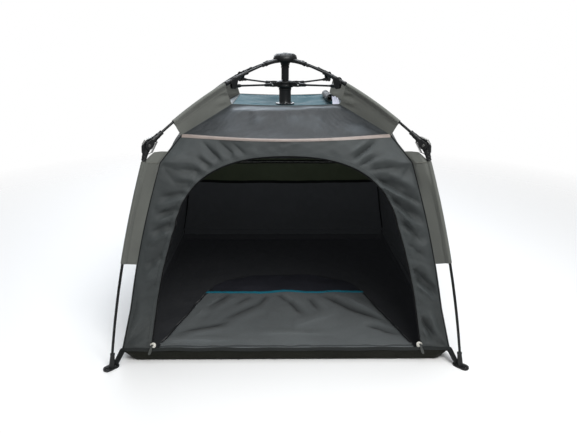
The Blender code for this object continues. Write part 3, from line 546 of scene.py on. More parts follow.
looks = {
    "cabin": wovenFinish("cabinCloth", (0.0440, 0.0510, 0.0525), 0.50, gloss=0.28, Sheen_Weight=0.06,
                         Sheen_Roughness=0.4),
    # the front wall's cloth: the cabin cloth with painted shade in its folds' hollows and painted highlight
    # on their crests
    "front": wovenFinish("frontClothPaintedFoldShade", (0.0450, 0.0520, 0.0535), 0.50, gloss=0.28, Sheen_Weight=0.06,
                         Sheen_Roughness=0.4, hollow=0.55, crest=0.11),
    # the slopes' cloth: a darker, bluer copy of the cabin cloth, painted shade against the light on its
    # upward faces and a painted blue of the sky's reflection, with painted shade in its folds' hollows and a
    # strong painted highlight on the shelf below the crest
    "slope": wovenFinish("slopeClothPaintedLight", (0.0180, 0.0215, 0.0245), 0.46, gloss=0.36, paintedHighlightGain=5.5,
                         Sheen_Weight=0.04, Sheen_Roughness=0.4, hollow=0.35, crest=1.0),
    # the lining and the floor glow faintly: painted light for the daylight through the cloth
    "lining": wovenFinish("cabinLining", (0.090, 0.097, 0.106), 0.6, dust=0.03, mottle=0.15, paintedGlow=0.0050),
    "floor": wovenFinish("floorCloth", (0.030, 0.032, 0.036), 0.5, thread=0.0008, dust=0.05, paintedGlow=0.0040),
    # the flap's cloth: strong painted shade in its folds' hollows and painted highlight on their crests
    "flap": wovenFinish("flapClothPaintedFoldShade", (0.128, 0.142, 0.147), 0.5, dust=0.04, crumple=2.6, Sheen_Weight=0.12,
                        hollow=0.95, crest=0.14),
    "roof": wovenFinish("tealCloth", (0.038, 0.096, 0.117), 0.55, dust=0.04, gloss=0.08),
    "olive": wovenFinish("oliveCloth", (0.130, 0.136, 0.124), 0.62, dust=0.06, Sheen_Weight=0.15),
    "tub": wovenFinish("tubCloth", (0.0062, 0.0070, 0.0042), 0.55, thread=0.0008, dust=0.04, gloss=0.12),
    "window": wovenFinish("windowScreen", (0.024, 0.028, 0.021), 0.65, thread=0.0012, weave=0.7, dust=0.05),
    # the window's cover glows faintly: painted light for the daylight through it
    "windowCover": wovenFinish("windowCloth", (0.085, 0.105, 0.066), 0.6, dust=0.03, paintedGlow=0.0046),
    "stripe": reflectiveFinish("reflectiveTape", (0.27, 0.222, 0.198)),
    "binding": tapeFinish("bindingTape", (0.0075, 0.008, 0.0085)),
    "sill": tapeFinish("sillTape", (0.060, 0.066, 0.069), 0.6, rib=0.0009, depth=0.3),
    "flapEdge": tapeFinish("flapEdgeTape", (0.022, 0.023, 0.026), 0.6, rib=0.0009, depth=0.3),
    "hem": tapeFinish("hemTape", (0.026, 0.029, 0.029)),
    "oliveThread": tapeFinish("oliveThread", (0.080, 0.083, 0.076), 0.6, rib=0.0006, depth=0.3),
    "teal": tapeFinish("tealBinding", (0.022, 0.235, 0.340), 0.6),
    "webbing": tapeFinish("webbing", (0.011, 0.0115, 0.012), 0.75, rib=0.0018, depth=0.9),
    "tab": tapeFinish("tabTape", (0.095, 0.100, 0.095), 0.7),
    "greyTie": tapeFinish("greyTie", (0.24, 0.24, 0.26), 0.7),
    "thread": tapeFinish("sewingThread", (0.052, 0.058, 0.060), 0.6, rib=0.0006, depth=0.3),
    "paleThread": tapeFinish("paleThread", (0.16, 0.16, 0.14), 0.6, rib=0.0006, depth=0.3),
    "flapScreen": screenFinish("flapScreenMesh", (0.030, 0.031, 0.040), cover=0.94),
    "plastic": mouldedFinish("blackPlastic", (0.0088, 0.0095, 0.010)),
    "capPlastic": mouldedFinish("capPlastic", (0.0045, 0.0052, 0.0058)),
    "tube": mouldedFinish("hubTube", (0.0080, 0.0090, 0.010), 0.22, grain=0.08, scuff=0.15),
    # the window's coil glows with painted light, so that it shows pale inside the dark cabin
    "windowCoilPaintedGlow": wovenFinish("windowCoilPaintedGlow", (0.42, 0.44, 0.42), 0.45, dust=0.05, mottle=0.2, paintedGlow=0.030),
    "coil": mouldedFinish("zipCoil", (0.0085, 0.0085, 0.009), 0.3, grain=0.1),
    "cream": mouldedFinish("sliderPlastic", (0.76, 0.74, 0.68), 0.35, grain=0.15, scuff=0.05),
    "rod": rodFinish("rodFibre", (0.0055, 0.0060, 0.0062)),
    "steel": metalFinish("brightSteel", (0.62, 0.62, 0.60)),
    "darkSteel": metalFinish("springSteel", (0.16, 0.16, 0.155), 0.38),
    "white": wovenFinish("whiteLining", (0.46, 0.47, 0.56), 0.55, dust=0.10, mottle=0.12),
}
print("materials made,", len(looks))


# Cabin cloth

# How far out a corner seam stands at a height: straight from hem to shoulder and from there to the eave
def seamHalf(z):
    return np.interp(z, (cabin["hemZ"], cabin["shoulderZ"], cabin["eaveZ"]),
                     (cabin["hemHalf"], cabin["shoulderHalf"], cabin["eaveHalf"]))


# The same at the middle of a side, which stands out further at the eave
def middleHalf(z):
    return np.interp(z, (cabin["hemZ"], cabin["shoulderZ"], cabin["eaveZ"]),
                     (cabin["hemHalf"], cabin["shoulderHalf"], cabin["eaveMidHalf"]))


# How far the wings pull the corner seams outwards: a half sine from low on the wall to the shoulder
def cornerPull(z):
    t = np.clip((z - cabin["cornerPullLowZ"]) / (cabin["shoulderZ"] - cabin["cornerPullLowZ"]), 0.0, 1.0)
    return cabin["cornerPull"] * np.sin(math.pi * t)


# How far an eave has bowed out at a share of its half width: none at the corners, all in the middle
def eaveBow(share):
    return np.clip(1.0 - share ** 2, 0.0, 1.0) ** 1.25


# The front wall's cloth at (x, z): it leans in to the shoulder, bends to the dipped eave, and its
# corners are drawn out by the wings. lift moves it along the wall's own normal.
def wallPoints(x, z, lift=0.0):
    x, z = np.broadcast_arrays(x, z)
    half = seamHalf(z)
    across = np.clip(np.abs(x) / half, 0.0, 1.0)
    y = -(half + (middleHalf(z) - half) * eaveBow(across))
    above = np.clip((z - cabin["shoulderZ"]) / (cabin["eaveZ"] - cabin["shoulderZ"]), 0.0, 1.0)
    dip = (cabin["eaveMidZ"] - cabin["eaveZ"]) * eaveBow(np.clip(np.abs(x) / cabin["eaveHalf"], 0, 1))
    pull = cornerPull(z) * across ** 5
    base = np.stack([x + np.sign(x) * pull, y - pull, z + dip * above ** 2], -1)
    return base + np.asarray(lift)[..., None] * wallOut


arch = {
    "foot": (0.370, 0.050), "footFlare": 0.0028, "spring": (0.297, 0.372), "crownZ": 0.552,
    "sideBow": 0.0085, "sidePull": 0.130, "crownPull": 0.169,
    "facing": 0.0105,
}


# The doorway's line from its right foot to its left foot, count points evenly spaced: bowed straight
# sides from the hem, x = foot to spring plus a half sine, then a cubic curve to the crown
def archLine(count=401, offset=0.0):
    t = np.linspace(0.0, 1.0, 200)
    foot, spring = np.array(arch["foot"]), np.array(arch["spring"])
    side = foot + (spring - foot) * t[:, None]
    side[:, 0] += arch["sideBow"] * np.sin(math.pi * t)
    way = unit(spring - foot)
    knots = [spring, spring + way * arch["sidePull"],
             np.array([arch["crownPull"], arch["crownZ"]]), np.array([0.0, arch["crownZ"]])]
    weights = [(1 - t) ** 3, 3 * t * (1 - t) ** 2, 3 * t * t * (1 - t), t ** 3]
    curve = sum(w[:, None] * k for w, k in zip(weights, knots))
    low = np.array([[foot[0] + arch["footFlare"], cabin["hemZ"]]])
    half = np.concatenate([low, side, curve[1:]])
    whole = np.concatenate([half, half[-2::-1] * np.array([-1.0, 1.0])])
    run = runLength(whole)
    marks = np.linspace(0.0, run[-1], count)
    line = np.stack([np.interp(marks, run, whole[:, k]) for k in range(2)], -1)
    return line + offset * rightOf(line)


frontFolds = {
    # seed of the puckers, the fold depth that gives full painted shade, and the share by which that painted
    # shade fades round the crown
    "seed": 5, "paintedShadeDepth": 0.0085, "crownFade": 0.45,
    # puckers along the doorway: how many, least and most lean, length, width and height
    "puckers": 68, "puckerLean": (-0.95, -0.30), "puckerLength": (0.035, 0.085),
    "puckerWidth": (0.0050, 0.0090), "puckerHeight": (0.0008, 0.0022),
    # heights between which the crown begins, and how much shorter and lower the puckers are there
    "crown": (0.50, 0.55), "crownShorter": 0.45, "crownLower": 0.8,
    # gains on width and height of the long folds
    "leftGain": (0.95, 2.7), "rightGain": (0.75, 3.6),
    # long folds: from (x, z) to (x, z), width, height
    "long": [
        (-0.174, 0.540, -0.224, 0.586, 0.0060, -0.0024), (-0.140, 0.556, -0.181, 0.590, 0.0055, -0.0018),
        (-0.110, 0.557, -0.144, 0.588, 0.0050, -0.0014), (-0.198, 0.527, -0.240, 0.548, 0.0055, -0.0019),
        (-0.228, 0.514, -0.286, 0.520, 0.0070, -0.0022), (-0.250, 0.486, -0.300, 0.484, 0.0070, -0.0020),
        (-0.268, 0.459, -0.335, 0.446, 0.0085, -0.0030), (-0.268, 0.444, -0.343, 0.423, 0.0080, 0.0032),
        (-0.284, 0.421, -0.345, 0.402, 0.0075, -0.0028), (-0.289, 0.404, -0.350, 0.380, 0.0075, 0.0028),
        (-0.302, 0.383, -0.360, 0.354, 0.0080, -0.0030), (-0.310, 0.358, -0.366, 0.325, 0.0080, 0.0030),
        (-0.317, 0.341, -0.368, 0.312, 0.0075, -0.0024), (-0.331, 0.299, -0.378, 0.268, 0.0080, -0.0022),
        (-0.335, 0.280, -0.382, 0.236, 0.0085, 0.0022), (-0.350, 0.222, -0.390, 0.188, 0.0080, -0.0020),
        (0.176, 0.541, 0.246, 0.588, 0.0060, -0.0024), (0.197, 0.527, 0.245, 0.551, 0.0055, -0.0020),
        (0.221, 0.515, 0.300, 0.524, 0.0075, -0.0020), (0.236, 0.495, 0.366, 0.424, 0.0100, -0.0042),
        (0.252, 0.472, 0.318, 0.436, 0.0090, 0.0030), (0.272, 0.446, 0.356, 0.376, 0.0100, -0.0038),
        (0.286, 0.423, 0.344, 0.362, 0.0085, 0.0026), (0.307, 0.384, 0.362, 0.324, 0.0090, -0.0028),
        (0.326, 0.325, 0.368, 0.288, 0.0080, -0.0022), (0.341, 0.256, 0.385, 0.214, 0.0085, -0.0026),
        (0.350, 0.232, 0.412, 0.178, 0.0090, -0.0032), (0.354, 0.212, 0.412, 0.165, 0.0080, 0.0030),
        (0.371, 0.124, 0.402, 0.066, 0.0065, -0.0022), (0.373, 0.090, 0.396, 0.052, 0.0060, 0.0020),
    ],
    # pleats that run from the hem's corners, and their width and height: (end x, end z) on the right,
    # mirrored on the left
    "pleats": [(0.366, 0.118), (0.380, 0.158), (0.396, 0.205), (0.412, 0.240), (0.373, 0.082)],
    "pleatSize": (0.0055, 0.0032),
    # folds that run in from the shoulders, in the same way
    "shoulder": [(0.262, 0.505), (0.245, 0.548), (0.286, 0.470), (0.238, 0.575)],
    "shoulderSize": (0.008, 0.0024),
    # slow and quick ripples: height, wave, seed
    "slowRipple": (0.0014, 0.13, 21), "quickRipple": (0.00045, 0.030, 22),
}


# Short puckers that run outwards from the doorway's line, leaning down, with lengths, heights and widths
# drawn between their limits. Round the crown they're shorter and lower.
def archPuckers():
    draw = np.random.default_rng(frontFolds["seed"])
    count = frontFolds["puckers"]
    line = archLine(count)
    lean = draw.uniform(*frontFolds["puckerLean"], count)[:, None]
    way = unit(rightOf(line) + np.array([0.0, 1.0]) * lean)
    length = draw.uniform(*frontFolds["puckerLength"], count)[:, None]
    height = draw.uniform(*frontFolds["puckerHeight"], count) * np.where(np.arange(count) % 2, 1.0, -1.0)
    width = draw.uniform(*frontFolds["puckerWidth"], count)
    crown = smooth(line[:, 1], *frontFolds["crown"])
    length = length * (1.0 - frontFolds["crownShorter"] * crown[:, None])
    height = height * (1.0 - frontFolds["crownLower"] * crown)
    return np.concatenate([line, line + way * length, width[:, None], height[:, None]], 1)


# The front wall's relief: all its folds plus slow and quick ripples, faded out towards its sewn edges
def frontHeight(x, z):
    long = np.array(frontFolds["long"])
    right = long[:, :1] > 0.0
    long[:, 4:] = long[:, 4:] * np.where(right, frontFolds["rightGain"], frontFolds["leftGain"])
    folds = [archPuckers(), long]
    hem = (cabin["hemHalf"] - 0.004, cabin["hemZ"] + 0.002)
    shoulder = (cabin["shoulderHalf"] - 0.004, cabin["shoulderZ"] - 0.004)
    for side in (-1.0, 1.0):
        folds.append(fan(hem, frontFolds["pleats"], side, *frontFolds["pleatSize"]))
        folds.append(fan(shoulder, frontFolds["shoulder"], side, *frontFolds["shoulderSize"]))
    slow, slowWave, slowSeed = frontFolds["slowRipple"]
    quick, quickWave, quickSeed = frontFolds["quickRipple"]
    total = creases(x, z, np.concatenate(folds)) + slow * ripples(x, z, slowSeed, slowWave)
    total = total + quick * ripples(x, z, quickSeed, quickWave, 11)
    edge = smooth(seamHalf(z) - np.abs(x), 0.0, 0.014) * smooth(z, cabin["hemZ"], cabin["hemZ"] + 0.012)
    return total * edge * smooth(cabin["eaveZ"] - z, 0.0, 0.012)


# The front wall: straight rows from each point of the doorway's line to a point of the wall's outer
# edge, which goes up the corner seam to the shoulder, on to the eave's corner and in to its middle
def makeFrontWall():
    line = archLine(561)
    t = np.linspace(0.0, 1.0, len(line))
    gone = 1.0 - np.abs(1.0 - 2.0 * t)
    turnsAt = (0.0, 0.58, 0.72, 1.0)
    outerX = np.interp(gone, turnsAt, (cabin["hemHalf"], cabin["shoulderHalf"], cabin["eaveHalf"], 0.0))
    outerZ = np.interp(gone, turnsAt, (cabin["hemZ"], cabin["shoulderZ"], cabin["eaveZ"], cabin["eaveZ"]))
    outer = np.stack([outerX * np.where(t < 0.5, 1.0, -1.0), outerZ], -1)
    share = np.linspace(0.0, 1.0, 37)[None, :, None]
    flat = line[:, None] + (outer - line)[:, None] * share
    x, z = flat[..., 0], flat[..., 1]
    lift = frontHeight(x, z)
    # painted shade in the folds' hollows and painted highlight on their crests, faded round the crown
    tone = -lift / frontFolds["paintedShadeDepth"] * (1.0 - frontFolds["crownFade"] * smooth(z, 0.48, 0.53))
    wall = Shape().grid(wallPoints(x, z, lift), out=wallOut)
    piece = wall.finish("frontWallCloth", [looks["front"], looks["lining"]], "cabin_cloth",
                        ("front_wall_left", "front_wall_right", "front_wall_head"),
                        thick=cabin["cloth"], fold=tone)


# A line on the front wall's cloth, lifted off its relief
def frontPath(line, lift):
    x, z = line[:, 0], line[:, 1]
    return wallPoints(x, z, frontHeight(x, z) + lift)


# The band sewn round the doorway, its two stitch rows, the zip tape behind its edge and the coil
def makeDoorwayTrim():
    facing = arch["facing"]
    edges = ((0.0, 0.0001), (0.0004, 0.0009), (0.0030, 0.0010), (0.0075, 0.0010), (facing - 0.0004, 0.0008),
             (facing, 0.0001))
    band = Shape().grid(np.stack([frontPath(archLine(561, d), lift) for d, lift in edges]), out=wallOut)
    band.finish("doorwayFacing", looks["cabin"], "cabin_cloth")
    sewn, coil = Shape(), Shape()
    for offset in (0.0022, facing - 0.0014):
        stitchRow(sewn, frontPath(archLine(801, offset), 0.0011), wallOut)
    sewn.finish("doorwayStitches", looks["thread"], "cabin_cloth")
    rows = [frontPath(archLine(561, d), -0.0016) for d in (0.004, 0.000, -0.0020, -0.0034)]
    tape = Shape().grid(np.stack(rows), out=wallOut)
    tape.finish("doorwayZipTape", looks["binding"], "cabin_cloth", thick=sewing["tape"])
    teeth = frontPath(archLine(801, -0.0029), -0.0012)
    stitchRow(coil, teeth, wallOut, sewing["coilPitch"], sewing["doorwayTooth"])
    coil.finish("doorwayZipCoil", looks["coil"], "black_plastic")


sideFolds = {
    # folds that fan out from near each hem corner and each shoulder, drawn once and mirrored
    "cornerFrom": (0.443, 0.042), "cornerSize": (0.008, 0.0032),
    "corner": [(0.30, 0.09), (0.26, 0.12), (0.34, 0.16), (0.39, 0.22), (0.36, 0.06)],
    "shoulderFrom": (0.330, 0.531), "shoulderSize": (0.009, 0.0036),
    "shoulder": [(0.20, 0.47), (0.24, 0.42), (0.27, 0.36), (0.17, 0.51), (0.29, 0.31)],
    # how far the middle is hollow, and the wall's height
    "inward": 0.004, "tall": 0.56,
    # slow and quick ripples: height, wave
    "slowRipple": (0.0026, 0.22), "quickRipple": (0.0006, 0.05),
}


# A plain wall's relief: slow ripples, a slight hollow between its corners and folds that run in from
# the hem's corners and the shoulders
def plainHeight(x, z, seed):
    x, z = np.broadcast_arrays(x, z)
    folds = []
    for side in (-1.0, 1.0):
        for spot in ("corner", "shoulder"):
            folds += fan(sideFolds[spot + "From"], sideFolds[spot], side, *sideFolds[spot + "Size"], seed)
    slow, slowWave = sideFolds["slowRipple"]
    quick, quickWave = sideFolds["quickRipple"]
    lift = creases(x, z, folds) + slow * ripples(x, z, seed, slowWave)
    lift = lift + quick * ripples(x, z, seed + 40, quickWave, 9)
    u = np.abs(x) / seamHalf(z)
    hollow = (1.0 - u ** 2) * np.sin(math.pi * np.clip((z - cabin["hemZ"]) / sideFolds["tall"], 0.0, 1.0))
    edge = smooth(seamHalf(z) - np.abs(x), 0.0, 0.02) * smooth(z, cabin["hemZ"], 0.055)
    return lift * (edge * smooth(cabin["eaveZ"] - z, 0.0, 0.015)) - sideFolds["inward"] * hollow


backWindow = {
    "lowZ": 0.286, "topZ": 0.389, "zipDrop": 0.013, "inset": 0.018, "footInset": 0.012, "seed": 63,
    "stitchAt": 0.0060,
    # where the outer and the inner face of a band lie
    "faces": ((1.0, 0.0008), (-1.0, -0.0022)),
    # (offset up the wall, height over its face) across the zip's band and the binding at the foot
    "zipBand": ((-0.0075, -0.0004), (-0.0070, 0.0004), (0.0, 0.0007), (0.0070, 0.0004), (0.0075, -0.0004)),
    "footBand": ((-0.0060, -0.0004), (-0.0055, 0.0005), (0.0055, 0.0005), (0.0060, -0.0004)),
}


# A plain wall between two heights
def makePlainWall(name, side, low, high, seed, lookName, slotName, node, flat, area):
    z = np.linspace(low, high, max(int((high - low) / 0.0055), 8))[:, None]
    x = np.linspace(-1.0, 1.0, 121)[None, :] * seamHalf(z)
    wall = Shape(sides[side]).grid(wallPoints(x, z, plainHeight(x, z, seed)), out=wallOut)
    inner = looks["lining" if lookName == "cabin" else "windowCover"]
    piece = wall.finish(name, [looks[lookName], inner], slotName, (node,), thick=cabin["cloth"])


plainWalls = {
    # name: side, low and high edge, seed of its relief, look, slot, node, flat size, cloth area
    "leftWallCloth": ("left", cabin["hemZ"], cabin["eaveZ"], 61, "cabin", "cabin_cloth", "left_wall",
                      (0.898, 0.576), 0.437),
    "rightWallCloth": ("right", cabin["hemZ"], cabin["eaveZ"], 62, "cabin", "cabin_cloth", "right_wall",
                       (0.898, 0.576), 0.437),
    "backWallLow": ("back", cabin["hemZ"], backWindow["lowZ"], backWindow["seed"], "cabin", "cabin_cloth",
                    "back_wall_lower", (0.898, 0.255), 0.214),
    "backWindowScreen": ("back", backWindow["lowZ"], backWindow["topZ"], backWindow["seed"], "window",
                         "screen_mesh", "back_window", (0.782, 0.106), 0.078),
    "backWallTop": ("back", backWindow["topZ"], cabin["eaveZ"], backWindow["seed"], "cabin", "cabin_cloth",
                    "back_wall_upper", (0.734, 0.216), 0.142),
}


# The window's zip runs along its top, as tape and coil on both faces, with a binding along its foot
def makeBackWindow():
    low, top = backWindow["lowZ"], backWindow["topZ"] - backWindow["zipDrop"]
    zipHalf = float(seamHalf(top)) - backWindow["inset"]
    zipX = np.linspace(-zipHalf, zipHalf, 301)
    footX = np.linspace(-1.0, 1.0, 161) * (float(seamHalf(low)) - backWindow["footInset"])
    tape, coil, sewn = (Shape(sides["back"]) for _ in range(3))

    # A line on the back wall, lifted off its relief
    def row(x, z, lift):
        return wallPoints(x, z, lift + plainHeight(x, z, backWindow["seed"]))

    for face, base in backWindow["faces"]:
        rows = [row(zipX, top + offset, base + face * lift) for offset, lift in backWindow["zipBand"]]
        tape.grid(np.stack(rows), out=wallOut * face)
        middle = row(zipX, top, base + face * 0.0010)
        stitchRow(coil, middle, wallOut * face, sewing["windowPitch"], sewing["windowTooth"])
        for offset in (-backWindow["stitchAt"], backWindow["stitchAt"]):
            stitchRow(sewn, row(zipX, top + offset, base + face * 0.0008), wallOut * face)
    for face, base in backWindow["faces"]:
        rows = [row(footX, low + offset, base + face * lift) for offset, lift in backWindow["footBand"]]
        tape.grid(np.stack(rows), out=wallOut * face)
    tape.finish("backWindowTape", looks["binding"], "screen_mesh")
    coil.finish("backWindowCoil", looks["windowCoilPaintedGlow"], "black_plastic")
    sewn.finish("backWindowStitches", looks["thread"], "cabin_cloth")


# Roof

# A roof slope from the eave, t = 0, to the crest, t = 1: half widths, heights and the bow between
# its corners are blended straight from one edge to the other
def slopePoints(u, t, lift=0.0):
    u, t = np.broadcast_arrays(u, t)
    half = cabin["eaveHalf"] + (cabin["crestHalf"] - cabin["eaveHalf"]) * t
    middle = cabin["eaveMidHalf"] + (cabin["crestMidHalf"] - cabin["eaveMidHalf"]) * t
    cornerZ = cabin["eaveZ"] + (cabin["crestZ"] - cabin["eaveZ"]) * t
    middleZ = cabin["eaveMidZ"] + (cabin["crestMidZ"] - cabin["eaveMidZ"]) * t
    bulge = eaveBow(np.abs(u))
    base = np.stack([u * half, -(half + (middle - half) * bulge), cornerZ + (middleZ - cornerZ) * bulge], -1)
    rise = math.atan2(cabin["crestMidZ"] - cabin["eaveMidZ"], cabin["eaveMidHalf"] - cabin["crestMidHalf"])
    return base + np.asarray(lift)[..., None] * np.array([0.0, -math.sin(rise), math.cos(rise)])


# The roof top's height at shares u and v of its half widths: the sag in its middle, raised by
# u u + v v - u u v v to the crest's middles, and by u u v v more to its corners
def roofHeight(u, v):
    edge = cabin["crestMidZ"] - cabin["roofSagZ"]
    corner = cabin["crestZ"] - cabin["crestMidZ"]
    both = u * u * v * v
    return cabin["roofSagZ"] + edge * (u * u + v * v - both) + corner * both


# The roof top's points, whose four sides bow out by 1 - share squared
def roofPoints(u, v, lift=0.0):
    half, bulge = cabin["crestHalf"], cabin["crestMidHalf"] - cabin["crestHalf"]
    x = u * (half + bulge * (1.0 - v * v))
    y = v * (half + bulge * (1.0 - u * u))
    return np.stack([x, y, roofHeight(u, v) + lift], -1)


roof = {
    # folds of the front slope in metres across and up it: from, to, width, height
    "slopeFolds": [
        (-0.110, 0.135, -0.078, 0.060, 0.012, 0.0042), (-0.140, 0.140, -0.105, 0.050, 0.020, -0.0030),
        (0.062, 0.140, 0.135, 0.065, 0.017, 0.0046), (0.190, 0.170, 0.085, 0.045, 0.022, -0.0034),
        (-0.230, 0.160, -0.120, 0.090, 0.016, 0.0022), (0.010, 0.165, 0.022, 0.080, 0.020, 0.0020),
        (-0.020, 0.170, -0.045, 0.090, 0.018, -0.0016),
    ],
    # the folds' gain, the fold depth that gives full painted shade, the front slope's swell, and the low
    # hollow's depth and the share up the slope at which it ends
    "foldGain": 0.6, "paintedShadeDepth": 0.012, "frontSwell": 0.0125, "hollow": 0.0050, "hollowTo": 0.75,
    # metres for half a slope's width and for its height, for the folds and for the ripples
    "foldSpan": (0.25, 0.18), "rippleSpan": (0.3, 0.2),
    # slow and quick ripples: height, wave, seed of the front slope's
    "slowRipple": (0.0012, 0.13, 70), "quickRipple": (0.0003, 0.025, 80),
    # the knuckle's height up the slope: a + b u - c cos(d u)
    "knuckle": (0.76, 0.07, 0.03, 5.0),
    # folds of the top, in shares of its half width
    "topFolds": [
        (-0.95, -0.95, -0.1, 0.35, 0.10, 0.0045), (-0.75, 0.6, 0.1, 0.2, 0.09, -0.0030),
        (0.20, -0.2, 0.85, -0.75, 0.10, 0.0035), (0.15, 0.1, 0.7, 0.7, 0.10, -0.0030),
        (-0.3, -0.6, 0.5, -0.72, 0.07, 0.0022), (-0.2, 0.05, -0.9, -0.2, 0.06, -0.0018),
    ],
}


# A slope's folds, turned about on every second side, with two sizes of ripples, faded to its seams
def slopeFolds(u, t, index):
    folds = np.array(roof["slopeFolds"])
    folds[:, 0] *= (-1) ** index
    across, up = roof["foldSpan"]
    lift = roof["foldGain"] * creases(u * across, t * up, folds)
    across, up = roof["rippleSpan"]
    slow, slowWave, slowSeed = roof["slowRipple"]
    quick, quickWave, quickSeed = roof["quickRipple"]
    lift = lift + slow * ripples(u * across, t * up, slowSeed + index, slowWave)
    lift = lift + quick * ripples(u * across, t * up, quickSeed + index, quickWave, 11)
    edge = smooth(1.0 - np.abs(u), 0.0, 0.06) * smooth(t, 0.0, 0.1) * smooth(1.0 - t, 0.0, 0.1)
    return lift * edge


# How far a slope stands off a straight one: hollow by a half sine low down, and the front one swollen
# too, rising from the eave to its knuckle and falling to the crest
def slopeSwell(u, t, side):
    low, lean, bow, pace = roof["knuckle"]
    knuckle = low + lean * u - bow * np.cos(u * pace)
    shelf = np.where(t < knuckle, t / knuckle, (1.0 - t) / (1.0 - knuckle))
    swell = (roof["frontSwell"] if side == "front" else 0.0) * smooth(shelf, 0.0, 1.25)
    hollow = roof["hollow"] * np.sin(math.pi * np.clip(t / roof["hollowTo"], 0.0, 1.0))
    return (swell - hollow) * (1.0 - u ** 4)


# The painted light of a slope besides its folds: a painted highlight on a shelf below the crest, -1,
# and a band of painted shade under it, 1, each a bell curve exp(-d d) up the slope
def slopePaintedLight(u, t):
    shelf = np.exp(-((t - 0.872 - 0.028 * u) / (0.100 - 0.020 * u)) ** 2) * (0.95 - 0.25 * u)
    under = 0.55 * np.exp(-((t - 0.70 - 0.06 * u) / 0.06) ** 2) * smooth(0.9 - np.abs(u - 0.1), 0.0, 0.5)
    return under - shelf * smooth(1.0 - np.abs(u), 0.0, 0.4)


# The four slopes, then the top, whose folds stop at a flat ring round the hub's plate
def makeRoof():
    u, t = np.meshgrid(np.linspace(-1.0, 1.0, 141), np.linspace(0.0, 1.0, 41))
    for index, (side, degrees) in enumerate(sides.items()):
        lift = slopeFolds(u, t, index)
        points = turned(slopePoints(u, t, lift + slopeSwell(u, t, side)), degrees)
        slope = Shape().grid(points, out=turned((0.0, -0.5, 1.0), degrees))
        # painted shade in the folds' hollows and painted highlight on their crests, plus the painted shelf
        # highlight below the crest and the band of painted shade under it
        piece = slope.finish("roofSlopeCloth_" + side, [looks["slope"], looks["lining"]], "cabin_cloth",
                             ("roof_slope_" + side,), thick=cabin["cloth"],
                             fold=-lift / roof["paintedShadeDepth"] + slopePaintedLight(u, t))
    u, v = np.meshgrid(np.linspace(-1.0, 1.0, 91), np.linspace(-1.0, 1.0, 91))
    lift = creases(u, v, roof["topFolds"]) + 0.0016 * ripples(u * 0.16, v * 0.16, 90, 0.09)
    flatRing = smooth(np.hypot(u, v), 0.20, 0.40)
    edge = smooth(1.0 - np.abs(u), 0.0, 0.08) * smooth(1.0 - np.abs(v), 0.0, 0.08)
    top = Shape().grid(roofPoints(u, v, lift * edge * flatRing), out=(0.0, 0.0, 1.0))
    piece = top.finish("roofTopCloth", [looks["roof"], looks["lining"]], "roof_cloth", ("roof_top",),
                       thick=cabin["cloth"])


eaveTape = {
    "width": 0.0052, "rise": 0.0011, "stitchAt": 0.78, "frontReach": 0.996, "otherReach": 0.965,
    # (share of the width, below 0 on the wall and above 0 on the slope, share of the rise)
    "section": ((-1.0, 0.0), (-0.97, 0.9), (-0.6, 1.0), (-0.2, 1.25), (0.2, 1.25), (0.6, 1.0), (0.97, 0.9),
                (1.0, 0.0)),
}


# Pale tape folded over each eave: half of its width on the wall and half on the slope
def makeEaveStripes():
    rise, stitchAt = eaveTape["rise"], eaveTape["stitchAt"]
    stripes, sewn = Shape(), Shape()
    slopeLength = math.hypot(cabin["eaveMidHalf"] - cabin["crestMidHalf"],
                             cabin["crestMidZ"] - cabin["eaveMidZ"])

    # A line beside the eave at a share of the tape's width
    def row(u, mark, lift):
        reach = abs(mark) * eaveTape["width"]
        if mark < 0.0:
            return wallPoints(u * cabin["eaveHalf"], cabin["eaveZ"] - reach, lift)
        return slopePoints(u, reach / slopeLength, lift)

    for side, degrees in sides.items():
        reach = eaveTape["frontReach"] if side == "front" else eaveTape["otherReach"]
        u = np.linspace(-1.0, 1.0, 161) * reach
        rows = [row(u, mark, lift * rise) for mark, lift in eaveTape["section"]]
        stripes.grid(turned(np.stack(rows), degrees), out=turned((0.0, -1.0, 0.6), degrees))
        for mark, normal in ((-stitchAt, wallOut), (stitchAt, (0.0, -0.4, 0.9))):
            stitchRow(sewn, turned(row(u, mark, rise), degrees), turned(normal, degrees))
    stripes.finish("eaveStripes", looks["stripe"], "cabin_cloth")
    sewn.finish("eaveStitches", looks["greyTie"], "cabin_cloth")


# The line of a corner seam, drawn in by a distance
def cornerLine(z, inset=0.0):
    half = seamHalf(z) + cornerPull(z) - inset
    return np.stack([half, -half, z], -1)


# Rolled seam allowances along the four corners, the four hips and the crest, with piping and a row of
# stitches beside each corner
def makeSeams():
    seams, piping, sewn = Shape(), Shape(), Shape()
    z = np.linspace(cabin["hemZ"] + 0.001, cabin["eaveZ"] - 0.001, 121)
    lines = (
        (cornerLine(z), sewing["corner"], (1.0, 1.0, 0.0)),
        (slopePoints(1.0, np.linspace(0.0, 1.0, 41)), sewing["hip"], (1.0, 1.0, 0.0)),
        (slopePoints(np.linspace(-1.0, 1.0, 81), 1.0), sewing["crest"], (0.0, 0.0, 1.0)),
    )
    for degrees in sides.values():
        for line, radius, away in lines:
            seams.pipe(turned(line, degrees), radius, 8, turned(away, degrees))
        for side in (-1.0, 1.0):
            edge = wallPoints(side * (seamHalf(z) - sewing["pipingIn"]), z, 0.0010)
            piping.pipe(turned(edge, degrees), sewing["piping"], 6, turned((1.0, 0.0, 0.0), degrees))
        for side in (1.0, -1.0):
            row = wallPoints(side * (seamHalf(z) - sewing["stitchIn"]), z, 0.0006)
            stitchRow(sewn, turned(row, degrees), turned(wallOut, degrees), inset=0.01)
    seams.finish("cornerSeams", looks["cabin"], "cabin_cloth")
    piping.finish("cornerPiping", looks["binding"], "cabin_cloth")
    sewn.finish("cornerStitches", looks["thread"], "cabin_cloth")


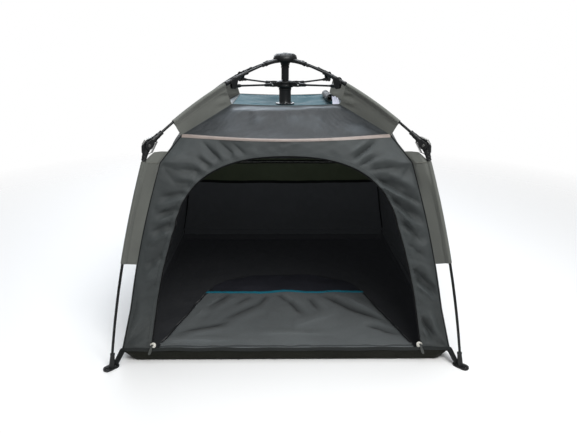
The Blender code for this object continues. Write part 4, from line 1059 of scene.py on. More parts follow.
# The dark binding down each inner corner of the cabin, a tube just inside the corner seam
def makeInnerCorners():
    bound = Shape()
    line = cornerLine(np.linspace(0.056, cabin["eaveZ"] - 0.004, 101), sewing["innerIn"])
    for degrees in sides.values():
        bound.pipe(turned(line, degrees), sewing["inner"], 8, turned((1.0, 1.0, 0.0), degrees))
    bound.finish("innerCornerBinding", looks["binding"], "cabin_cloth")


# The tape over the joint of wall and floor, inside the three walls without a door: (height, lift) rows
def makeFloorTape():
    tape = Shape()
    across = np.linspace(-1.0, 1.0, 121)
    section = ((0.0260, -0.0034), (0.0270, -0.0042), (0.0500, -0.0044), (0.0508, -0.0034))
    rows = np.stack([wallPoints(across * (float(seamHalf(z)) - 0.008), z, lift) for z, lift in section])
    for side in ("left", "right", "back"):
        tape.grid(turned(rows, sides[side]), out=turned(-wallOut, sides[side]))
    tape.finish("floorTape", looks["lining"], "cabin_cloth", thick=sewing["tape"])


# The hem's binding: a flat band folded over the bottom edge of the walls, all the way round, as
# (outwards, upwards) points carried along the four sides with a slow wave
def makeHem():
    half, z = cabin["hemHalf"], cabin["hemZ"]
    profile = ((0.0000, 0.0065), (0.0014, 0.0060), (0.0018, 0.0020), (0.0018, -0.0022),
               (0.0008, -0.0040), (-0.0010, -0.0040), (-0.0022, -0.0015), (-0.0022, 0.0050))
    across = np.linspace(-1.0, 1.0, 161)
    rings = []
    for degrees in sides.values():
        wave = 0.0009 * ripples(across * 0.45, across * 0.0, 30 + int(degrees), 0.09)
        wave = wave * smooth(1.0 - np.abs(across), 0.0, 0.1)
        rows = [np.stack([across * (half + out), np.full(161, -(half + out)), z + up + wave], -1)
                for out, up in profile]
        rings.append(turned(np.stack(rows, 1)[:-1], degrees))
    band = Shape().grid(np.concatenate(rings), wrapRows=True, wrapColumns=True)
    band.finish("hemBinding", looks["hem"], "tub_cloth")


tub = {
    "edgeHalf": 0.4430, "corner": 0.034, "bed": 0.0011, "bedFloor": -0.0014, "rimBulge": 0.0016,
    # shares from the middle at which the floor ends, the rim's foot ends and the hem is reached
    "shares": (0.0, 0.93, 0.95, 1.0), "lowZ": 0.0016, "rimZ": 0.0024,
}


# The groundsheet: square rings that lie flat out to the floor's edge and then climb the tub's rim,
# so that a ring's half width and height follow its share m from the middle. Past the core of a ring its
# points are drawn on to a quarter circle, which rounds the floor's corners but not the hem's.
def makeFloor():
    u, v = np.meshgrid(np.linspace(-1.0, 1.0, 181), np.linspace(-1.0, 1.0, 181))
    m = np.maximum(np.abs(u), np.abs(v))
    edge = tub["edgeHalf"]
    half = np.interp(m, tub["shares"], (0.0, edge - 0.005, edge, cabin["hemHalf"] - 0.0012))
    z = np.interp(m, tub["shares"], (tub["lowZ"], tub["lowZ"], tub["rimZ"], cabin["hemZ"] - 0.001))
    safe = np.maximum(m, 1e-9)
    x, y = u / safe * half, v / safe * half
    rounding = tub["corner"] * smooth(m, 0.50, 0.93) * (1.0 - smooth(m, 0.955, 1.0)) + 1e-9
    overX, overY = (np.maximum(np.abs(part) - half + rounding, 0.0) for part in (x, y))
    pullIn = np.minimum(rounding / np.maximum(np.hypot(overX, overY), 1e-12), 1.0) - 1.0
    x, y = x + np.sign(x) * overX * pullIn, y + np.sign(y) * overY * pullIn
    flatShare = 1.0 - smooth(m, 0.88, 0.94)
    bed = tub["bed"] * (ripples(x, y, 11, 0.16) + 0.5 * ripples(x, y, 12, 0.05, 9)) * flatShare
    rim = smooth(m, 0.945, 0.965) * (1.0 - smooth(m, 0.985, 1.0))
    bulge = tub["rimBulge"] * rim * ripples(x, y, 13, 0.06, 9)
    points = np.stack([x * (1.0 + bulge), y * (1.0 + bulge), z + np.maximum(bed, tub["bedFloor"])], -1)
    floor = Shape().grid(points, out=(0.0, 0.0, -1.0))
    piece = floor.finish("groundsheet", [looks["tub"], looks["floor"]], "tub_cloth", ("floor",),
                         thick=cabin["floorCloth"])


makeFrontWall()
makeBackWindow()
makeDoorwayTrim()
for name, wall in plainWalls.items():
    makePlainWall(name, *wall)
makeRoof()
makeEaveStripes()
makeSeams()
makeInnerCorners()
makeFloorTape()
makeHem()
makeFloor()
print("cabin made")


# Rods, in the upright plane through a corner: (radius, height)
rods = {
    "radius": 0.0033, "legGain": 1.08,
    "poleStart": (0.0799, 0.7730), "poleEnd": (0.4690, 0.6062), "poleBow": 0.0175,
    "legStart": (0.5130, 0.5590), "legEnd": (0.6707, 0.0097), "legBow": 0.0148,
    # the fitting from the hub to the pole's start, and its radii up to a share of the pole just past that
    "fittingPath": ((0.0206, 0.7805), (0.030, 0.7803), (0.0420, 0.7798), (0.060, 0.7768)),
    "fittingRadii": (0.0050, 0.0058, 0.0060, 0.0054, 0.0054, 0.0050), "fittingEnd": 0.012,
    # collars on the pole: share of the pole, radius; then their half length as a share, and their ends' radii
    "collars": ((0.004, 0.0066), (0.034, 0.0054)), "collarHalf": 0.010, "collarEnds": (0.0045, 0.0040),
    # the ribbed sleeve: where it starts and ends, then shares of its length and radii there
    "sleeveStart": 0.1556, "sleeveEnd": 0.2404,
    "sleeveShares": (0.0, 0.02, 0.08, 0.10, 0.40, 0.42, 0.58, 0.60, 0.90, 0.92, 0.98, 1.0),
    "sleeveRadii": np.array([42, 60, 60, 52, 52, 60, 60, 52, 52, 60, 60, 42]) * 0.0001,
}


# A parabola that stands off its chord: chord + 4 bow t (1 - t) along the chord's normal
def bowed(start, end, bow, t):
    start, end, t = np.array(start), np.array(end), np.atleast_1d(t)[:, None]
    chord = end - start
    normal = np.array([-chord[1], chord[0]]) / np.linalg.norm(chord)
    return start + chord * t + normal * 4.0 * bow * t * (1.0 - t)


# Points of the upper pole's curve at shares t, from the hub outwards
def polePoints(t):
    return bowed(rods["poleStart"], rods["poleEnd"], rods["poleBow"], t)


# Points of the leg's curve at shares t, from the knee down
def legPoints(t):
    return bowed(rods["legStart"], rods["legEnd"], rods["legBow"], t)


# The share of a rod's curve at which one of its two coordinates has a value
def shareAt(curve, axis, value):
    t = np.linspace(0.0, 1.0, 401)
    found = curve(t)[:, axis]
    order = np.argsort(found)
    return float(np.interp(value, found[order], t[order]))


# (radius, height) points into the plane of a corner
def inPlane(flat, side=0.0):
    flat = np.asarray(flat, float)
    return np.stack([flat[..., 0], np.broadcast_to(side, flat.shape[:-1]), flat[..., 1]], -1)


# Steps along one face of a wing's loop, and round its rod
wingSteps = {"face": 26, "rod": 15}


# A wing: at each step a teardrop loop in the plane of seam and rod, out along one face of the cloth,
# round the rod in its sleeve and back along the other. The faces part at the sleeve's stitch line and
# meet the rod's circle at a tangent. gape opens the two faces and sway bends both.
def wingLoops(seam, rod, gape, sway, sleeve=0.0052, web=0.0007, stitch=0.0125):
    way = unit(rod - seam)
    length = np.linalg.norm(rod - seam, axis=1)[:, None]
    share = np.linspace(0.0, 1.0, wingSteps["face"])
    meet = 0.5 * math.pi + math.asin(sleeve / stitch)
    turn = np.linspace(meet, -meet, wingSteps["rod"])
    reach = share[None, :] ** 0.75 * (length + sleeve * math.cos(meet))
    parting = np.clip((reach - length + stitch) / (stitch + sleeve * math.cos(meet)), 0.0, 1.0)
    half = web + (sleeve * math.sin(meet) - web) * parting
    half = half + gape[:, None] * (1.0 - np.abs(2.0 * share[None, :] - 1.0) ** 5) * (1.0 - parting)
    arcReach = length + sleeve * np.cos(turn)[None, :]
    arcSide = np.broadcast_to(sleeve * np.sin(turn)[None, :], arcReach.shape)
    reach = np.concatenate([reach, arcReach, reach[:, ::-1]], 1)
    side = np.concatenate([half, arcSide, -half[:, ::-1]], 1)
    bend = np.sin(math.pi * np.clip(reach / length, 0.0, 1.0))
    place = seam[:, None] + way[:, None] * reach[..., None]
    drift = sway(place[..., 0], place[..., 1]) * bend
    return inPlane(place, side + drift)


upperWing = {
    "rodInner": 0.2440, "rodOuter": 0.4207, "gape": 0.0002, "ripple": 0.0007,
    # columns of the loop that lie under the sleeve's stitches, on each face
    "stitched": ((1.0, 16), (-1.0, 50)),
    # folds by the crest's end, in (radius, height): from, to, width, height
    "folds": [
        (0.232, 0.672, 0.275, 0.668, 0.0040, 0.0022), (0.230, 0.688, 0.268, 0.694, 0.0045, -0.0018),
        (0.234, 0.700, 0.275, 0.696, 0.0045, 0.0018), (0.232, 0.668, 0.285, 0.652, 0.0045, -0.0020),
    ],
}
lowerWing = {
    "seamLowZ": 0.272, "legLowZ": 0.288, "legTopZ": 0.545, "gape": 0.0088, "ripple": 0.0012,
    "stitched": ((1.0, 19), (-1.0, 47)),
    "gussetEdge": ((0.4415, 0.5605), (0.4640, 0.5640), (0.4850, 0.5650), (0.4965, 0.5585), (0.5060, 0.5515)),
    # half the gusset's thickness, then how far its rounded tip swells and turns, in radians
    "gussetHalf": 0.0007, "tipSwell": 0.0012, "tipTurn": 1.2,
}


# The upper wing, straight from the hip seam to the pole at every step
def makeUpperWing(corner, degrees, index):
    t = np.linspace(0.0, 1.0, 61)
    inner = np.array([cabin["crestHalf"] * rootTwo, cabin["crestZ"] + 0.0005])
    outer = np.array([cabin["eaveHalf"] * rootTwo + 0.001, cabin["eaveZ"]])
    seam = inner + (outer - inner) * t[:, None]
    low, high = (shareAt(polePoints, 0, upperWing[key]) for key in ("rodInner", "rodOuter"))
    rod = polePoints(low + (high - low) * t)

    # How far both faces of the wing bend at (radius, height)
    def sway(r, z):
        folds = creases(r, z, upperWing["folds"]) * (-1.0) ** index
        return folds + upperWing["ripple"] * ripples(r, z, 100 + index, 0.13)

    loops = wingLoops(seam, rod, np.full(61, upperWing["gape"]), sway)
    piece = Shape(degrees).solid(loops).finish("upperWingCloth_" + corner, looks["olive"], "olive_cloth",
                                               ("upper_wing_" + corner,))
    sewn = Shape(degrees)
    for side, column in upperWing["stitched"]:
        stitchRow(sewn, loops[:, column] + np.array([0.0, side * 0.0004, 0.0]), (0.0, side, 0.0))
    sewn.finish("upperWingStitches_" + corner, looks["oliveThread"], "olive_cloth")


# The lower wing runs from its low edge to the shoulder, where its two faces stand apart. Above that
# crease the gusset closes them again to its top edge, straight from loop to loop.
def makeLowerWing(corner, degrees, index):
    t = np.linspace(0.0, 1.0, 111)
    seamZ = lowerWing["seamLowZ"] + (cabin["shoulderZ"] - lowerWing["seamLowZ"]) * t
    seam = np.stack([(seamHalf(seamZ) + cornerPull(seamZ)) * rootTwo, seamZ], -1)
    legZ = lowerWing["legLowZ"] + (lowerWing["legTopZ"] - lowerWing["legLowZ"]) * t
    leg = legPoints(np.array([shareAt(legPoints, 1, z) for z in legZ]))

    # How far both faces of the wing bend at (radius, height)
    def sway(r, z):
        return lowerWing["ripple"] * ripples(r, z, 120 + index, 0.16) * smooth(0.535 - z, 0.0, 0.04)

    loops = wingLoops(seam, leg, lowerWing["gape"] * smooth(t, 0.45, 1.0) ** 1.8, sway)
    face, swell, thin = wingSteps["face"], lowerWing["tipSwell"], lowerWing["gussetHalf"]
    tip = np.linspace(lowerWing["tipTurn"], -lowerWing["tipTurn"], wingSteps["rod"])
    edge = np.array(lowerWing["gussetEdge"])
    run = runLength(edge)
    marks = np.concatenate([np.linspace(0.0, 1.0, face), np.ones(len(tip)), np.linspace(1.0, 0.0, face)])
    marks = marks * run[-1]
    half = np.concatenate([np.full(face, thin), swell * np.sin(tip), np.full(face, -thin)])
    over = np.concatenate([np.zeros(face), swell * np.cos(tip), np.zeros(face)])
    flat = np.stack([np.interp(marks, run, edge[:, 0]) + over, np.interp(marks, run, edge[:, 1])], -1)
    share = np.linspace(0.0, 1.0, 13)[1:, None, None]
    gusset = loops[-1][None] + (inPlane(flat, half)[None] - loops[-1][None]) * share
    wing = Shape(degrees).solid(np.concatenate([loops, gusset]))
    piece = wing.finish("lowerWingCloth_" + corner, looks["olive"], "olive_cloth", ("lower_wing_" + corner,),
                        sharp=16.0)
    sewn, piping = Shape(degrees), Shape(degrees)
    for side, column in lowerWing["stitched"]:
        lift = np.array([0.0, side * 0.0004, 0.0])
        stitchRow(sewn, loops[:, column] + lift, (0.0, side, 0.0))
        stitchRow(sewn, loops[2, 1:22] * np.array([1.0, side, 1.0]) + lift, (0.0, side, 0.0))
        crease = loops[-1, 1:25] if side > 0.0 else loops[-1, 42:66]
        piping.pipe(crease + lift, 0.0008, 6, (0.0, 0.0, 1.0))
    sewn.finish("lowerWingStitches_" + corner, looks["oliveThread"], "olive_cloth")
    piping.finish("gussetSeam_" + corner, looks["paleThread"], "olive_cloth")


# A small pin across a corner's plane, with a wider low head at each end
def pin(shape, centre, radius, half, head=1.5):
    steps = np.array([-half - radius * 0.5, -half, -half, half, half, half + radius * 0.5])
    radii = np.array([radius * head * 0.8, radius * head, radius, radius, radius * head, radius * head * 0.8])
    path = inPlane(np.tile(centre, (6, 1)), steps)
    ring = lathe(np.stack([radii, np.zeros(6)], -1), 14)
    upright = np.stack([ring[..., 0], np.zeros(ring.shape[:2]), ring[..., 1]], -1)
    shape.solid(path[:, None] + upright)


# Two plates side by side across a corner's plane, with the same outline
def cheeks(shape, outline, inner, outer):
    shape.prism(outline, inner, outer)
    shape.prism(outline, -outer, -inner)


# The outline of a link between two round ends: half circles of two radii joined by straight edges
def linkOutline(start, end, startRadius, endRadius, count=9):
    start, end = np.asarray(start, float), np.asarray(end, float)
    heading = math.atan2(end[1] - start[1], end[0] - start[0])
    angle = heading + np.linspace(-0.5, 0.5, count) * math.pi
    far = end + endRadius * np.stack([np.cos(angle), np.sin(angle)], -1)
    angle = angle + math.pi
    near = start + startRadius * np.stack([np.cos(angle), np.sin(angle)], -1)
    return np.concatenate([far, near])


# A strip of tape along a path in a corner's plane: a flat oval of the given half width and thickness
def ribbon(path, half, thickness):
    across = np.array([-1.0, -0.93, 0.0, 0.93, 1.0, 0.93, 0.0, -0.93])
    over = np.array([0.0, 0.5, 0.5, 0.5, 0.0, -0.5, -0.5, -0.5]) * thickness
    flat = path[:, None] - rightOf(path)[:, None] * over[None, :, None]
    return inPlane(flat, half[:, None] * across[None, :])


# A path through a few points, rounded by repeated corner cutting
def eased(points, rounds=3):
    path = np.asarray(points, float)
    for _ in range(rounds):
        near = path[:-1] * 0.75 + path[1:] * 0.25
        far = path[:-1] * 0.25 + path[1:] * 0.75
        path = np.concatenate([path[:1], np.stack([near, far], 1).reshape(-1, path.shape[1]), path[-1:]])
    return path


# The upper pole, the leg, and the pole's fittings: the end at the hub, two collars and a ribbed sleeve
def makeRods(corner, degrees):
    t = np.linspace(0.0, 1.0, 61)
    pole = Shape(degrees).pipe(inPlane(polePoints(t)), rods["radius"], 14)
    pole.finish("upperPole_" + corner, looks["rod"], "rod_fibre", ("upper_pole_" + corner,))
    leg = Shape(degrees).pipe(inPlane(legPoints(t)), rods["radius"] * rods["legGain"], 14)
    leg.finish("legRod_" + corner, looks["rod"], "rod_fibre", ("leg_" + corner,))
    path = np.array([*rods["fittingPath"], rods["poleStart"], polePoints(rods["fittingEnd"])[0]])
    fitting = Shape(degrees).pipe(inPlane(path), rods["fittingRadii"], 16)
    first, last = rods["collarEnds"]
    for place, thick in rods["collars"]:
        collar = inPlane(polePoints(place + np.linspace(-rods["collarHalf"], rods["collarHalf"], 6)))
        fitting.pipe(collar, (first, thick, thick, thick, thick, last), 16)
    low, high = (shareAt(polePoints, 0, rods[key]) for key in ("sleeveStart", "sleeveEnd"))
    t = low + (high - low) * np.array(rods["sleeveShares"])
    fitting.pipe(inPlane(polePoints(t)), rods["sleeveRadii"], 18)
    fitting.finish("poleFittings_" + corner, looks["plastic"], "black_plastic")


struts = {
    "inner": (0.0600, 0.7110), "outer": (0.2114, 0.7160), "eye": 0.0055, "eyeHalf": 0.0034,
    "forkInner": 0.0038, "forkOuter": 0.0054, "pinRadius": 0.0018, "pinHalf": 0.0056,
    # the bracket's lug from the pin to the pole and its saddle over the pole: the offsets of their two ends,
    # the radii there, and how far they stand out past the fork
    "lug": ((0.0, -0.0005), (-0.001, -0.004), 0.0078, 0.0115), "lugOut": 0.0012,
    "saddle": ((-0.009, 0.0010), (0.009, -0.0062), 0.0060, 0.0060), "saddleOut": 0.0018,
    # shares of the arm's length and radii there
    "shares": (0.0, 0.02, 0.07, 0.16, 0.18, 0.20, 0.5, 0.80, 0.83, 0.86, 0.97, 1.0),
    "radii": np.array([34, 48, 54, 50, 44, 30, 28, 30, 43, 52, 50, 34]) * 0.0001,
}


# A strut from the runner to the pole, with an eye at each end, the bracket over the pole and two pins
def makeStruts(corner, degrees):
    inner, outer = np.array(struts["inner"]), np.array(struts["outer"])
    path = inner + (outer - inner) * np.array(struts["shares"])[:, None]
    strut = Shape(degrees).pipe(inPlane(path), struts["radii"], 14)
    for centre in (inner, outer):
        strut.prism(roundOutline(centre, struts["eye"]), -struts["eyeHalf"], struts["eyeHalf"])
    strut.finish("strutArm_" + corner, looks["plastic"], "rod_fibre", ("strut_" + corner,))
    bracket = Shape(degrees)
    top = polePoints(shareAt(polePoints, 0, outer[0]))[0]
    low, high, *radii = struts["lug"]
    lug = linkOutline(outer + np.array(low), top + np.array(high), *radii)
    cheeks(bracket, lug, struts["forkInner"], struts["forkOuter"] + struts["lugOut"])
    near, far, *radii = struts["saddle"]
    half = struts["forkOuter"] + struts["saddleOut"]
    bracket.prism(linkOutline(top + np.array(near), top + np.array(far), *radii), -half, half)
    bracket.finish("strutBracket_" + corner, looks["plastic"], "black_plastic", bevel=0.0005)
    pins = Shape(degrees)
    for centre in (outer, inner):
        pin(pins, centre, struts["pinRadius"], struts["pinHalf"])
    pins.finish("strutPins_" + corner, looks["steel"], "black_plastic")


knee = {
    "pin": (0.5010, 0.5850), "pinRadius": 0.0028, "radius": 0.0105, "half": 0.0085,
    "upperMouth": (0.4570, 0.6137), "upperRoot": (0.4935, 0.5912),
    "lowerMouth": (0.5180, 0.5470), "lowerRoot": (0.5075, 0.5735),
    "mouthRadius": 0.0058, "rootRadius": 0.0085, "tongueHalf": 0.0046, "cheekInner": 0.0050,
    "tongueRadii": (0.0080, 0.0098), "cheekRoot": 0.0086,
    # shares of a socket's length, and how far its ribs stand out there
    "socketShares": (0.0, 0.01, 0.09, 0.11, 0.30, 0.33, 0.38, 0.41, 0.62, 0.66, 0.72, 0.76, 0.98, 1.0),
    "socketLifts": np.array([-14, 3, 3, -4, -3, 2, 2, -3, -2, 3, 3, -2, 0, -30]) * 0.0001,
    "springTop": (0.4745, 0.5915), "springLow": (0.4925, 0.5655), "springRadius": 0.0031, "springTurns": 10,
    "topHook": (0.4760, 0.6010), "lowHook": (0.5080, 0.5610), "wire": 0.0009, "hookWire": 0.0010,
    # the share of the spring's radius at which its wire runs
    "wireAt": 0.75,
    "lever": ((0.484, 0.6020), (0.507, 0.5962), (0.515, 0.5845), (0.5155, 0.5680),
              (0.5190, 0.5680), (0.5178, 0.5850), (0.5085, 0.5985), (0.484, 0.6045)),
    "leverEnd": (0.4870, 0.6035), "leverEndRadius": 0.0022, "leverHalf": 0.0040,
    "plate": ((0.4890, 0.6046), (0.5075, 0.5992), (0.5160, 0.5890), (0.5172, 0.5893), (0.5085, 0.6003),
              (0.4892, 0.6057)),
    "plateHalf": 0.0032,
}


# A tapered socket: from a rimmed mouth it widens to its root, with three low ribs round it
def kneeSocket(shape, mouth, root):
    mouth, root = np.array(mouth), np.array(root)
    t = np.array(knee["socketShares"])
    radius = knee["mouthRadius"] + (knee["rootRadius"] - knee["mouthRadius"]) * t + knee["socketLifts"]
    shape.pipe(inPlane(mouth + (root - mouth) * t[:, None]), radius, 20)


# A knee: two sockets joined by a tongue between two cheeks, a lever with its plate, and a pin with a
# spring, whose wire is a helix, middle line + radius (cos, sin), with a hook at each end
def makeKnee(corner, degrees):
    body = Shape(degrees)
    kneeSocket(body, knee["upperMouth"], knee["upperRoot"])
    kneeSocket(body, knee["lowerMouth"], knee["lowerRoot"])
    tongue = linkOutline(knee["lowerRoot"], knee["pin"], *knee["tongueRadii"], 13)
    body.prism(tongue, -knee["tongueHalf"], knee["tongueHalf"])
    outline = linkOutline(knee["upperRoot"], knee["pin"], knee["cheekRoot"], knee["radius"], 13)
    cheeks(body, outline, knee["cheekInner"], knee["half"])
    body.finish("kneeJoint_" + corner, looks["plastic"], "black_plastic", ("knee_" + corner,), bevel=0.0007)
    lever = Shape(degrees).prism(knee["lever"], -knee["leverHalf"], knee["leverHalf"])
    end = roundOutline(knee["leverEnd"], knee["leverEndRadius"], 12)
    lever.prism(end, -knee["leverHalf"], knee["leverHalf"])
    lever.finish("kneeLever_" + corner, looks["tube"], "black_plastic", bevel=0.0006)
    cover = Shape(degrees).prism(knee["plate"], -knee["plateHalf"], knee["plateHalf"])
    cover.finish("kneePlate_" + corner, looks["steel"], "black_plastic", bevel=0.0003)
    metal = Shape(degrees)
    pin(metal, knee["pin"], knee["pinRadius"], knee["half"], 1.45)
    top, low = np.array(knee["springTop"]), np.array(knee["springLow"])
    steps = np.linspace(0.0, 1.0, knee["springTurns"] * 12 + 1)
    turn = steps * knee["springTurns"] * 2.0 * math.pi
    way = unit(low - top)
    square = np.array([-way[1], way[0]])
    middle = top + (low - top) * steps[:, None]
    coil = middle + square * (np.cos(turn) * knee["springRadius"] * knee["wireAt"])[:, None]
    coil = inPlane(coil, np.sin(turn) * knee["springRadius"] * knee["wireAt"])
    metal.pipe(coil, knee["wire"], 6, (way[0], 0.0, way[1]))
    for hook, end in ((knee["topHook"], top), (knee["lowHook"], low)):
        metal.pipe(inPlane(eased([hook, (np.array(hook) + end) / 2.0, end])), knee["hookWire"], 8)
    metal.finish("kneeSpring_" + corner, looks["darkSteel"], "black_plastic")


feet = {
    "innerR": 0.651, "outerR": 0.6945, "half": 0.013, "corner": 0.012, "thickness": 0.004,
    "holeR": 0.6865, "holeRadius": 0.0034,
    "socketLow": (0.6712, 0.0025), "socketTop": (0.6640, 0.0420),
    # shares of the socket's height and radii there
    "socketShares": (0.0, 0.05, 0.12, 0.30, 0.60, 0.84, 0.86, 0.97, 1.0),
    "socketRadii": np.array([88, 86, 78, 71, 64, 59, 65, 64, 44]) * 0.0001,
    # the web behind the socket, and the two low ribs beside it
    "web": ((0.6765, 0.004), (0.6800, 0.004), (0.6700, 0.0270), (0.6680, 0.0270)), "webHalf": 0.0012,
    "ribs": ((0.664, 0.0075), (0.6755, 0.0075), (0.6755, 0.0105), (0.664, 0.0105)), "ribZ": (0.0035, 0.0052),
    # the two bars of the strap's slot
    "slotR": 0.6595, "slotHalf": 0.0083, "barOffset": 0.00384, "barHalf": 0.0009, "barZ": (0.0036, 0.0056),
    "barOver": 0.0012,
    "strap": [(0.6330, 0.0372), (0.6362, 0.0366), (0.6450, 0.0250), (0.6545, 0.0125), (0.6595, 0.0085),
              (0.6597, 0.0045), (0.6597, 0.0010)],
    "strapHalf": 0.0075, "strapFlare": 0.0042, "strapThickness": 0.0014,
}


# The plate round its stake hole: rings from the hole's edge over a raised rim and out to the rounded
# rectangle, whose reach at each angle is the distance to its edge
def footPlate():
    angle = ringAngles(72)
    way = np.stack([np.cos(angle), np.sin(angle)], -1)
    far = np.linspace(0.0005, 0.045, 600)
    spot = np.array([feet["holeR"], 0.0]) + way[:, None] * far[None, :, None]
    low, high, half, corner = feet["innerR"], feet["outerR"], feet["half"], feet["corner"]
    middle = (low + high) / 2.0
    inset = np.abs(spot - np.array([middle, 0.0])) - np.array([(high - low) / 2.0 - corner, half - corner])
    gap = np.linalg.norm(np.maximum(inset, 0.0), axis=-1) + np.minimum(inset.max(axis=-1), 0.0) - corner
    reach = far[np.argmax(gap > 0.0, axis=1)]
    hole, thick = feet["holeRadius"], feet["thickness"]
    # each ring: a fixed distance from the hole's middle, plus a share of the reach, and its height
    rings = [(hole, 0.0, 0.0004), (hole, 0.0, thick + 0.0008), (hole + 0.0012, 0.0, thick + 0.0012),
             (hole + 0.0021, 0.0, thick + 0.0004), (hole + 0.0024, 0.0, thick - 0.0006),
             (0.0, 0.88, thick - 0.0008), (0.0, 0.93, thick), (0.0, 0.98, thick - 0.0003),
             (0.0, 1.0, thick - 0.0012), (0.0, 1.0, 0.0002)]
    rows = []
    for fixed, share, z in rings:
        span = np.maximum(fixed + share * reach, hole + 0.0026 * (share > 0.0))
        flat = np.array([feet["holeR"], 0.0]) + way * span[:, None]
        rows.append(np.concatenate([flat, np.full((len(angle), 1), z)], 1))
    return np.stack(rows)


# A foot: its plate, the leg's socket with web and ribs, the bars of the strap's slot, and the strap,
# which widens towards the hem by 1 - share to the power 2.2
def makeFoot(corner, degrees):
    foot = Shape(degrees).grid(footPlate(), wrapRows=True, wrapColumns=True)
    low, top = np.array(feet["socketLow"]), np.array(feet["socketTop"])
    foot.pipe(inPlane(low + (top - low) * np.array(feet["socketShares"])[:, None]), feet["socketRadii"], 20)
    foot.prism(feet["web"], -feet["webHalf"], feet["webHalf"])
    for side in (-1.0, 1.0):
        rib = np.array(feet["ribs"]) * (1.0, side)
        foot.prism(rib, *feet["ribZ"], axes=((1, 0, 0), (0, 1, 0), (0, 0, 1)))
    for side in (-1.0, 1.0):
        at = feet["slotR"] + side * feet["barOffset"]
        inner, outer = at - feet["barHalf"], at + feet["barHalf"]
        lowZ, highZ = feet["barZ"]
        bar = ((inner, lowZ), (outer, lowZ), (outer, highZ), (inner, highZ))
        foot.prism(bar, -feet["slotHalf"] - feet["barOver"], feet["slotHalf"] + feet["barOver"])
    foot.finish("footPlate_" + corner, looks["plastic"], "black_plastic", ("foot_" + corner,), bevel=0.0004)
    path = eased(feet["strap"])
    half = feet["strapHalf"] + feet["strapFlare"] * (1.0 - np.linspace(0.0, 1.0, len(path)) ** 2.2)
    strap = Shape(degrees).solid(ribbon(path, half, feet["strapThickness"]))
    strap.finish("cornerStrap_" + corner, looks["webbing"], "webbing", ("foot_strap_" + corner,))
    sewn = Shape(degrees)
    normal = (0.6, 0.0, 0.8)
    over = path - rightOf(path) * feet["strapThickness"] * 0.55
    for side in (-1.0, 1.0):
        stitchRow(sewn, inPlane(over[:-6], side * half[:-6] * 0.78), normal, pitch=sewing["strapPitch"])
    for step in (2, 6, 10):
        ends = inPlane(np.stack([over[step], over[step]]), np.array([-1.0, 1.0]) * feet["strapHalf"] * 0.7)
        stitchRow(sewn, ends, normal, pitch=sewing["tackPitch"])
    sewn.finish("strapStitches_" + corner, looks["thread"], "webbing")


for number, (corner, degrees) in enumerate(turns.items()):
    makeRods(corner, degrees)
    makeStruts(corner, degrees)
    makeKnee(corner, degrees)
    makeFoot(corner, degrees)
    makeUpperWing(corner, degrees, number)
    makeLowerWing(corner, degrees, number)
print("frame and wings made")


hub = {
    "capRadius": 0.037, "capTopZ": 0.804, "capRimZ": 0.780, "ceilingZ": 0.7885, "coreRadius": 0.020,
    "coreLowZ": 0.766, "notchHalf": 0.0064, "capRibs": 12,
    "upperTube": 0.01175, "lowerTube": 0.01875, "plateRadius": 0.030, "plateThickness": 0.004,
    "runnerRadius": 0.026, "runnerLowZ": 0.700, "runnerTopZ": 0.722, "runnerBore": 0.0119, "screwsAt": 0.0262,
    # the clearance between the parts that are stacked on each other
    "gap": 0.0003,
}


# The cap: a turned dome and core, four rims between the poles' notches and low ribs over the dome
def makeCap():
    cap = Shape()
    top, rim, ceiling, low = hub["capTopZ"], hub["capRadius"], hub["ceilingZ"], hub["coreLowZ"]
    profile = [(0.0002, top), (0.0070, top), (0.0078, top - 0.0008), (0.0095, top - 0.0010),
               (0.0200, top - 0.0014), (0.0215, top - 0.0024), (0.0240, top - 0.0026), (0.0285, top - 0.0045),
               (0.0325, top - 0.0078), (0.0352, top - 0.0108), (rim - 0.0004, top - 0.0150),
               (rim, top - 0.0164), (rim - 0.0004, 0.7845), (rim - 0.0036, 0.7843), (0.0325, ceiling),
               (hub["coreRadius"], ceiling), (0.0185, 0.7800), (0.0150, 0.7730), (0.0134, 0.7690),
               (0.0130, low), (0.0002, low)]
    cap.solid(lathe(profile, 64))
    section = [(rim - 0.0036, hub["capRimZ"]), (rim - 0.0006, hub["capRimZ"]), (rim, 0.7812), (rim, 0.7852),
               (rim - 0.0036, 0.7852)]
    gap = math.degrees(hub["notchHalf"] / 0.035)
    for degrees in turns.values():
        angle = np.radians(np.linspace(degrees + gap, degrees + 90.0 - gap, 19))
        spot = np.stack([np.cos(angle), np.sin(angle), 0.0 * angle], -1)
        cap.solid(np.stack([spot * r + np.array([0.0, 0.0, z]) for r, z in section], 1))
    path = np.array([(0.0245, top - 0.0030), (0.0285, top - 0.0047), (0.0325, top - 0.0080),
                     (0.0350, top - 0.0108)])
    for step in range(hub["capRibs"]):
        angle = math.radians(step * 360.0 / hub["capRibs"])
        out = np.array([math.cos(angle), math.sin(angle), 0.0])
        across = np.array([-out[1], out[0], 0.0])
        cap.pipe(path[:, :1] * out + path[:, 1:] * np.array([0, 0, 1.0]), 0.0010, 8, across)
    cap.finish("hubCap", looks["capPlastic"], "black_plastic", ("hub_cap",))


